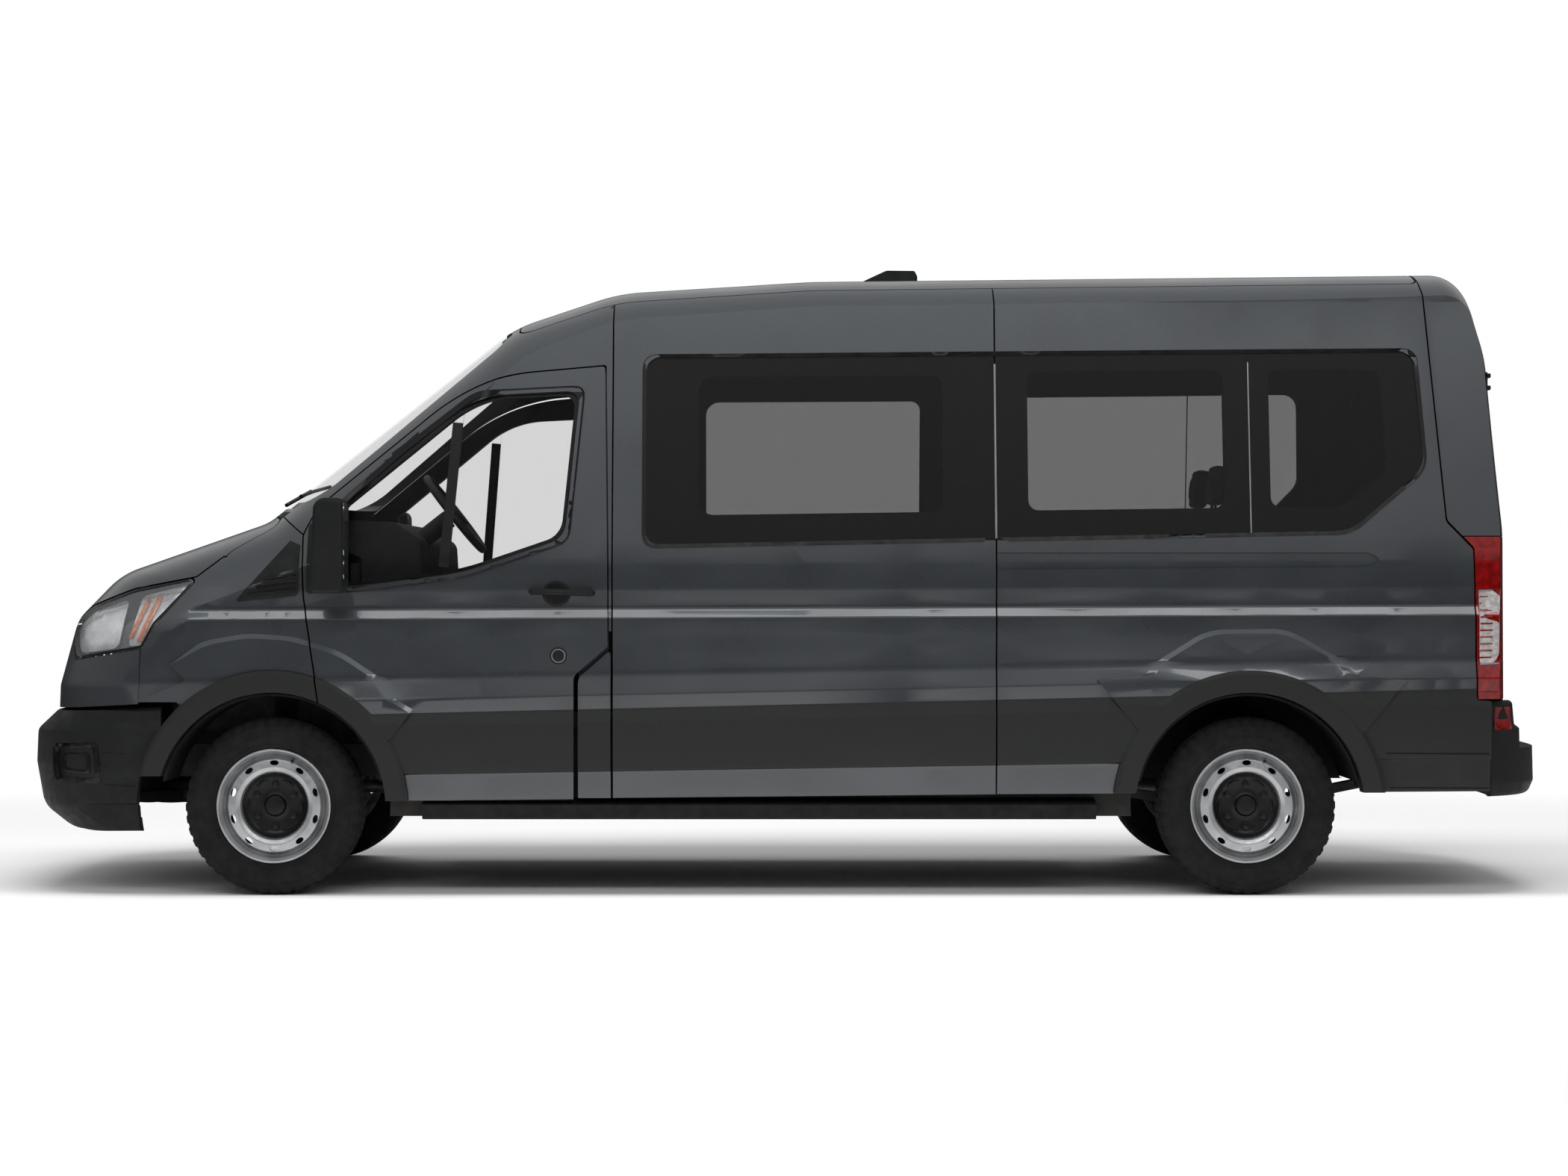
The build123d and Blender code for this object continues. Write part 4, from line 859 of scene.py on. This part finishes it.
SEATS = [
    # name, x, y, width, places, headrests, base, cushion, top, node
    ("driver_seat", -0.715, -0.43, 0.50, 1, (-0.43,), 0.94, 1.08, 1.54, "front_seats"),
    ("double_seat", -0.715, 0.33, 0.92, 2, (0.13, 0.53), 0.94, 1.08, 1.54, "front_seats"),
    ("first_bench", 0.03, 0, 1.44, 3, (), 0.96, 1.07, 1.48, "rear_benches"),
    ("second_bench", 0.875, 0, 1.44, 3, (-0.48, 0, 0.48), 0.96, 1.07, 1.48, "rear_benches"),
    ("third_bench", 1.75, 0, 1.02, 2, (-0.26, 0.26), 0.96, 1.07, 1.48, "rear_benches"),
]
for name, x, y, width, places, rests, base, cushion, top, node in SEATS:
    seat(name, at(x), y, width, base, cushion, top, rests, places, node)


# Doors: window surrounds, division bars, handles, locks and the black corner by the mirror

WINDOW_LINE = outline([
    (-0.752, 1.373), (-0.696, 1.945), (-1.097, 1.925), (-1.36, 1.722), (-1.614, 1.501), (-1.612, 1.182),
    (-1.495, 1.192), (-1.14, 1.240),
])
DOOR = ["SIDE_front_door"]
DOOR_AND_GLASS = ["SIDE_front_door", "SIDE_front_door_glass"]
both_plates("window_surround", [ring(WINDOW_LINE, 0.020, 0.004, 0.05)], TRIM, DOOR_AND_GLASS, "SIDE_front_door",
            rise=0.0035, sink=0.006, step=0.05)
both_plates("window_bars", [
    strip(outline([(-1.160, 1.900), (-1.219, 1.222)]), 0.040),
], TRIM, ["SIDE_front_door_glass"], "SIDE_front_door", rise=0.004, sink=0.004)

CORNER_REAR = outline([(-1.742, 1.158), (-1.640, 1.176), (-1.640, 1.470), (-1.742, 1.432)])
CORNER_FRONT = outline([(-2.018, 1.128), (-1.772, 1.152), (-1.772, 1.412)])
both_plates("black_corner", [rounded(CORNER_REAR, 0.02)], CLADDING, DOOR, "SIDE_front_door", rise=0.004)
both_plates("fender_corner", [rounded(CORNER_FRONT, 0.02)], CLADDING, ["SIDE_fender"], rise=0.004)
LOUVRES = [(-1.966, 1.158), (-1.935, 1.188), (-1.904, 1.218)]
both_plates("corner_louvres", [
    strip(outline([(x, z), (-1.782, z + 0.020)]), 0.009) for x, z in LOUVRES
], TRIM, ["SIDE_fender"], rise=0.0075, sink=0.002)

HANDLE_CENTRE = (at(-0.7635), 1.159)
both_plates("handle_recess", [oval(at(-0.782), 1.160, 0.110, 0.100)], CLADDING, DOOR, "SIDE_front_door",
            rise=0.002, sink=0.004)
# The darker oval inside the handle surround is painted shade of the handle hollow, laid on as a flat plate.
both_plates("handle_dish_shade", [oval(at(-0.782), 1.160, 0.092, 0.082)], PAINTED_SHADE, DOOR, "SIDE_front_door",
            rise=0.0028, sink=0.003)
both_plates("lock_ring", [oval(at(-0.775), 0.922, 0.064, 0.064)], CLADDING, DOOR, "SIDE_front_door", rise=0.004)
both_plates("lock_edge", [[oval(at(-0.775), 0.922, 0.054, 0.054), oval(at(-0.775), 0.922, 0.046, 0.046)]],
            PALE_SEAM, DOOR, "SIDE_front_door", rise=0.0045, sink=0.003, step=0.01)


def on_surface(view, nodes, points, rise):
    """Points a small distance outside the surface of some nodes, from places in a view."""
    tree = surface_of(nodes)
    start, way = LOOKS[view]
    result = []
    for spot in points:
        hit = tree.ray_cast(Vector(start(*spot)), Vector(way))[0]
        result.append(hit - Vector(way) * rise)
    return result


for side_name, side in SIDES:
    ends = on_surface(side_name, [f"{side_name}_front_door"], outline([(-0.873, 1.168), (-0.650, 1.163)]), 0.0)
    out = Vector((0, side * 0.034, 0))
    first, last = ends
    middle = first.lerp(last, 0.5)
    line = [first, first + out * 0.75 + Vector((0.006, 0, 0)), first.lerp(last, 0.12) + out,
            middle + out * 1.08, first.lerp(last, 0.88) + out, last + out * 0.75 - Vector((0.006, 0, 0)), last]
    rods(f"{side_name}_door_handle", [line], 0.0125, CLADDING, f"{side_name}_front_door", flat=1.35, sides=14)


# Side glass: sealant seams and the dark border over the pillars

both_plates("glass_seams", [
    strip(outline([(0.905, 1.372), (0.905, 2.088)]), 0.007),
    strip(outline([(1.884, 1.392), (1.884, 2.094)]), 0.005),
], PALE_SEAM, ["side_glass"], rise=0.0008, sink=0.002)
both_plates("glass_edge", [ring(SIDE_GLASS, 0.004, 0.012, 0.06)], TRIM, [
    "side_glass", "left_side_panel", "left_quarter_panel", "sliding_door", "right_quarter_panel",
], rise=0.0012, sink=0.004, step=0.05)


# Lamps

HEADLAMP = outline([
    (-2.712, 1.034), (-2.627, 1.106), (-2.430, 1.174), (-2.166, 1.222), (-2.330, 1.040), (-2.379, 0.950),
    (-2.674, 0.903),
])
LAMP_BACK = outline([(-2.40, 1.150), (-2.215, 1.196), (-2.345, 1.035), (-2.392, 0.960), (-2.450, 0.955)])
LAMP_FRONT = outline([(-2.690, 1.020), (-2.620, 1.085), (-2.455, 1.140), (-2.490, 0.948), (-2.665, 0.925)])
LAMP_WALL = 0.055
both_plates("headlamp_house", [rounded(grown(HEADLAMP, -0.004), 0.01)], TRIM, ["headlamps"], rise=-LAMP_WALL - 0.030,
            sink=LAMP_WALL + 0.034)
both_plates("headlamp_bowl", [rounded(LAMP_FRONT, 0.03)], REFLECTOR, ["headlamps"], rise=-LAMP_WALL - 0.010,
            sink=LAMP_WALL + 0.024)
both_plates("headlamp_side", [rounded(LAMP_BACK, 0.02)], REFLECTOR, ["headlamps"], rise=-LAMP_WALL - 0.012,
            sink=LAMP_WALL + 0.024)
both_plates("headlamp_amber", [
    strip(outline([(-2.325, 1.150), (-2.405, 0.975)]), 0.020),
    strip(outline([(-2.372, 1.140), (-2.440, 0.985)]), 0.016),
], AMBER, ["headlamps"], rise=-LAMP_WALL - 0.004, sink=LAMP_WALL + 0.010, slot="lamp_clear")
both_plates("headlamp_rim", [ring(HEADLAMP, -0.001, 0.011, 0.01)], TRIM, ["headlamps"], rise=0.0008, sink=0.003,
            step=0.03)

TAIL_BAND = outline([(2.763, 0.893), (2.908, 0.900), (2.890, 1.171), (2.757, 1.171)])
both_plates("tail_lamp_white", [rounded(TAIL_BAND, 0.01)], LAMP_WHITE, ["tail_lamps"], rise=0.0016, sink=0.003,
            slot="lamp_clear")
both_plates("tail_lamp_ribs", [
    strip(outline([(2.762, 0.915 + 0.026 * i), (2.900, 0.918 + 0.026 * i)]), 0.006) for i in range(10)
], LAMP_RED, ["tail_lamps"], rise=0.0034, sink=0.002, slot="lamp_red")
both_plates("tail_lamp_lines", [
    strip(outline([(2.757, 1.171), (2.892, 1.178)]), 0.006), strip(outline([(2.763, 0.890), (2.910, 0.896)]), 0.006),
], PALE_SEAM, ["tail_lamps"], rise=0.003, sink=0.002)

FOG = outline([(-2.742, 0.440), (-2.742, 0.572), (-2.560, 0.580), (-2.545, 0.434)])
both_plates("fog_frame", [ring(FOG, 0.006, 0.012, 0.02)], TRIM, ["front_bumper"], rise=0.003, sink=0.004, step=0.02)
both_plates("fog_panel", [ring(grown(FOG, -0.036), 0.005, 0.008, 0.02)], TRIM, ["front_bumper"], rise=0.004, sink=0.003,
            step=0.02)
# Dark strips are painted shade in the grooves of the front bumper and the lower quarter panels.
both_plates("bumper_groove_shade", [
    strip(outline([(-2.53, 0.548), (-2.44, 0.545)]), 0.006), strip(outline([(-2.53, 0.424), (-2.36, 0.418)]), 0.006),
], PAINTED_SHADE, ["front_bumper"], rise=0.0006, sink=0.003)
both_plates("rear_groove_shade", [
    strip(outline([(2.40, 0.548), (2.80, 0.545)]), 0.006), strip(outline([(2.42, 0.415), (2.80, 0.412)]), 0.006),
], PAINTED_SHADE, ["left_quarter_panel", "right_quarter_panel"], rise=0.0006, sink=0.003)
both_plates("side_reflector", [rounded(outline([(2.83, 0.634), (2.905, 0.634), (2.905, 0.722), (2.83, 0.722)]), 0.01)],
            LAMP_RED, ["rear_bumper"], rise=0.002, sink=0.003, slot="lamp_red")
for side_name, side in SIDES:
    near, far = sorted((side * 0.808, side * 0.862))
    blocks(f"{side_name}_rear_hinge", [
        ((at(2.765), near, 1.945), (at(2.822), far, 2.020)), ((at(2.800), near, 1.950), (at(2.834), far, 1.968)),
        ((at(2.800), near, 1.997), (at(2.834), far, 2.015)),
    ], CLADDING, bevel=0.004)


# Mirrors, rear handle, plate recess, rear window surrounds and wipers

for side_name, side in SIDES:
    u0, u1 = sorted((side * 1.068, side * 1.218))
    plate(f"{side_name}_mirror_glass", "rear", [rounded(rect(u0, u1, 1.300, 1.505), 0.03)], MIRROR,
          [f"{side_name}_mirror"], rise=0.002, sink=0.002, body=f"{side_name}_front_door", slot="clear_glass")
    plate(f"{side_name}_mirror_low_glass", "rear", [rounded(rect(u0, u1, 1.215, 1.288), 0.02)], MIRROR,
          [f"{side_name}_mirror"], rise=0.002, sink=0.002, body=f"{side_name}_front_door", slot="clear_glass")

plate("rear_handle", "rear", [rounded(rect(-0.062, -0.012, 1.16, 1.28), 0.012)], CLADDING, ["left_rear_door"],
      rise=0.016, sink=0.004, body="left_rear_door", bevel=0.003)
plate("plate_recess", "rear", [rounded(rect(-0.62, -0.10, 0.98, 1.10), 0.01)], CLADDING, ["left_rear_door"],
      rise=0.002, sink=0.004, body="left_rear_door")
for side_name, side in SIDES:
    surround = [(side * abs(u), v) for u, v in REAR_WINDOW]
    plate(f"{side_name}_rear_surround", "rear", [ring(surround, 0.014, 0.006, 0.05)], TRIM,
          [f"{side_name}_rear_door", f"{side_name}_rear_door_glass"], rise=0.002, sink=0.004,
          body=f"{side_name}_rear_door", step=0.05)

WIPERS = [[(-0.60, 1.545), (-0.02, 1.60)], [(0.08, 1.545), (0.62, 1.60)]]
for i, line in enumerate(WIPERS):
    blade = on_surface("front", ["windscreen"], [line[0], [(a + b) / 2 for a, b in zip(*line)], line[1]], 0.012)
    rods(f"wiper_blade_{i}", [blade], 0.007, TRIM)
    arm = on_surface("front", ["windscreen"], [(line[0][0] + 0.02, 1.51), [(a + b) / 2 for a, b in zip(*line)]], 0.024)
    rods(f"wiper_arm_{i}", [arm], 0.008, TRIM)


# Floor, light and camera

def stage():
    """Pale floor that fades out away from the van, so that the white world shows beyond it."""
    mesh = bpy.data.meshes.new("floor")
    size = 14
    corners = [(-size, -size, 0), (size, -size, 0), (size, size, 0), (-size, size, 0)]
    mesh.from_pydata(corners, [], [(0, 1, 2, 3)])
    floor = bpy.data.objects.new("floor", mesh)
    SCENE.collection.objects.link(floor)
    material = new_material("floor_white", (0.93, 0.93, 0.93, 1), 0.85)
    tree = material.node_tree
    fade = texture(material, "ShaderNodeTexGradient", gradient_type="SPHERICAL")
    scaled = tree.nodes.new("ShaderNodeMapping")
    scaled.inputs["Scale"].default_value = (1 / 7.5, 1 / 6.5, 1)
    tree.links.new(fade.inputs["Vector"].links[0].from_socket, scaled.inputs["Vector"])
    tree.links.new(scaled.outputs["Vector"], fade.inputs["Vector"])
    alpha = ramp(material, fade.outputs["Fac"], [(0.0, 0), (0.45, 1)])
    tree.links.new(alpha, tree.nodes["Principled BSDF"].inputs["Alpha"])
    mesh.materials.append(material)


def area_light(name, place, target, size, power, glossy=True):
    light = bpy.data.lights.new(name, "AREA")
    light.shape = "RECTANGLE"
    light.size, light.size_y = size
    light.energy = power
    lamp = bpy.data.objects.new(name, light)
    lamp.location = place
    lamp.rotation_euler = (Vector(target) - Vector(place)).to_track_quat("-Z", "Y").to_euler()
    lamp.visible_glossy = glossy
    SCENE.collection.objects.link(lamp)


def world():
    """White behind the van, and for its light a soft sky that darkens to the horizon."""
    background = bpy.data.worlds.new("world")
    SCENE.world = background
    background.use_nodes = True
    tree = background.node_tree
    shader = tree.nodes["Background"]
    path = tree.nodes.new("ShaderNodeLightPath")
    seen = tree.nodes.new("ShaderNodeMath")
    seen.operation = "MAXIMUM"
    tree.links.new(path.outputs["Is Camera Ray"], seen.inputs[0])
    tree.links.new(path.outputs["Is Transmission Ray"], seen.inputs[1])
    place = tree.nodes.new("ShaderNodeTexCoord")
    split = tree.nodes.new("ShaderNodeSeparateXYZ")
    tree.links.new(place.outputs["Generated"], split.inputs[0])
    sky = tree.nodes.new("ShaderNodeValToRGB")
    stops = [(0.0, 0.02), (0.12, 0.05), (0.35, 0.5), (0.6, 0.5), (1.0, 0.35)]
    elements = sky.color_ramp.elements
    while len(elements) < len(stops):
        elements.new(0.5)
    for element, (position, value) in zip(elements, stops):
        element.position = position
        element.color = (value, value, value, 1)
    tree.links.new(split.outputs[2], sky.inputs["Fac"])
    mix = tree.nodes.new("ShaderNodeMix")
    mix.data_type = "RGBA"
    inputs = {socket.identifier: socket for socket in mix.inputs}
    tree.links.new(seen.outputs[0], inputs["Factor_Float"])
    tree.links.new(sky.outputs["Color"], inputs["A_Color"])
    inputs["B_Color"].default_value = (1, 1, 1, 1)
    result = next(socket for socket in mix.outputs if socket.identifier == "Result_Color")
    tree.links.new(result, shader.inputs["Color"])
    shader.inputs["Strength"].default_value = 1.0


def camera():
    data = bpy.data.cameras.new("camera")
    data.sensor_width = 36
    data.lens = 36 * 4420 / 2100
    data.shift_x = 31.5 / 2100
    data.clip_end = 200
    holder = bpy.data.objects.new("camera", data)
    holder.location = (-0.0925, -13.665, 1.182)
    holder.rotation_euler = (math.radians(90), 0, 0)
    SCENE.collection.objects.link(holder)
    SCENE.camera = holder


stage()
world()
camera()
area_light("top", (0, -1.5, 7), (0, 0, 0), (8, 2.5), 520, glossy=False)
area_light("strip", (0, -8, 6.5), (0, 0, 1.2), (13, 1.6), 260)
area_light("back", (0, 7, 6), (0, 0, 1), (8, 2), 160, glossy=False)
SCENE.view_settings.view_transform = "Standard"
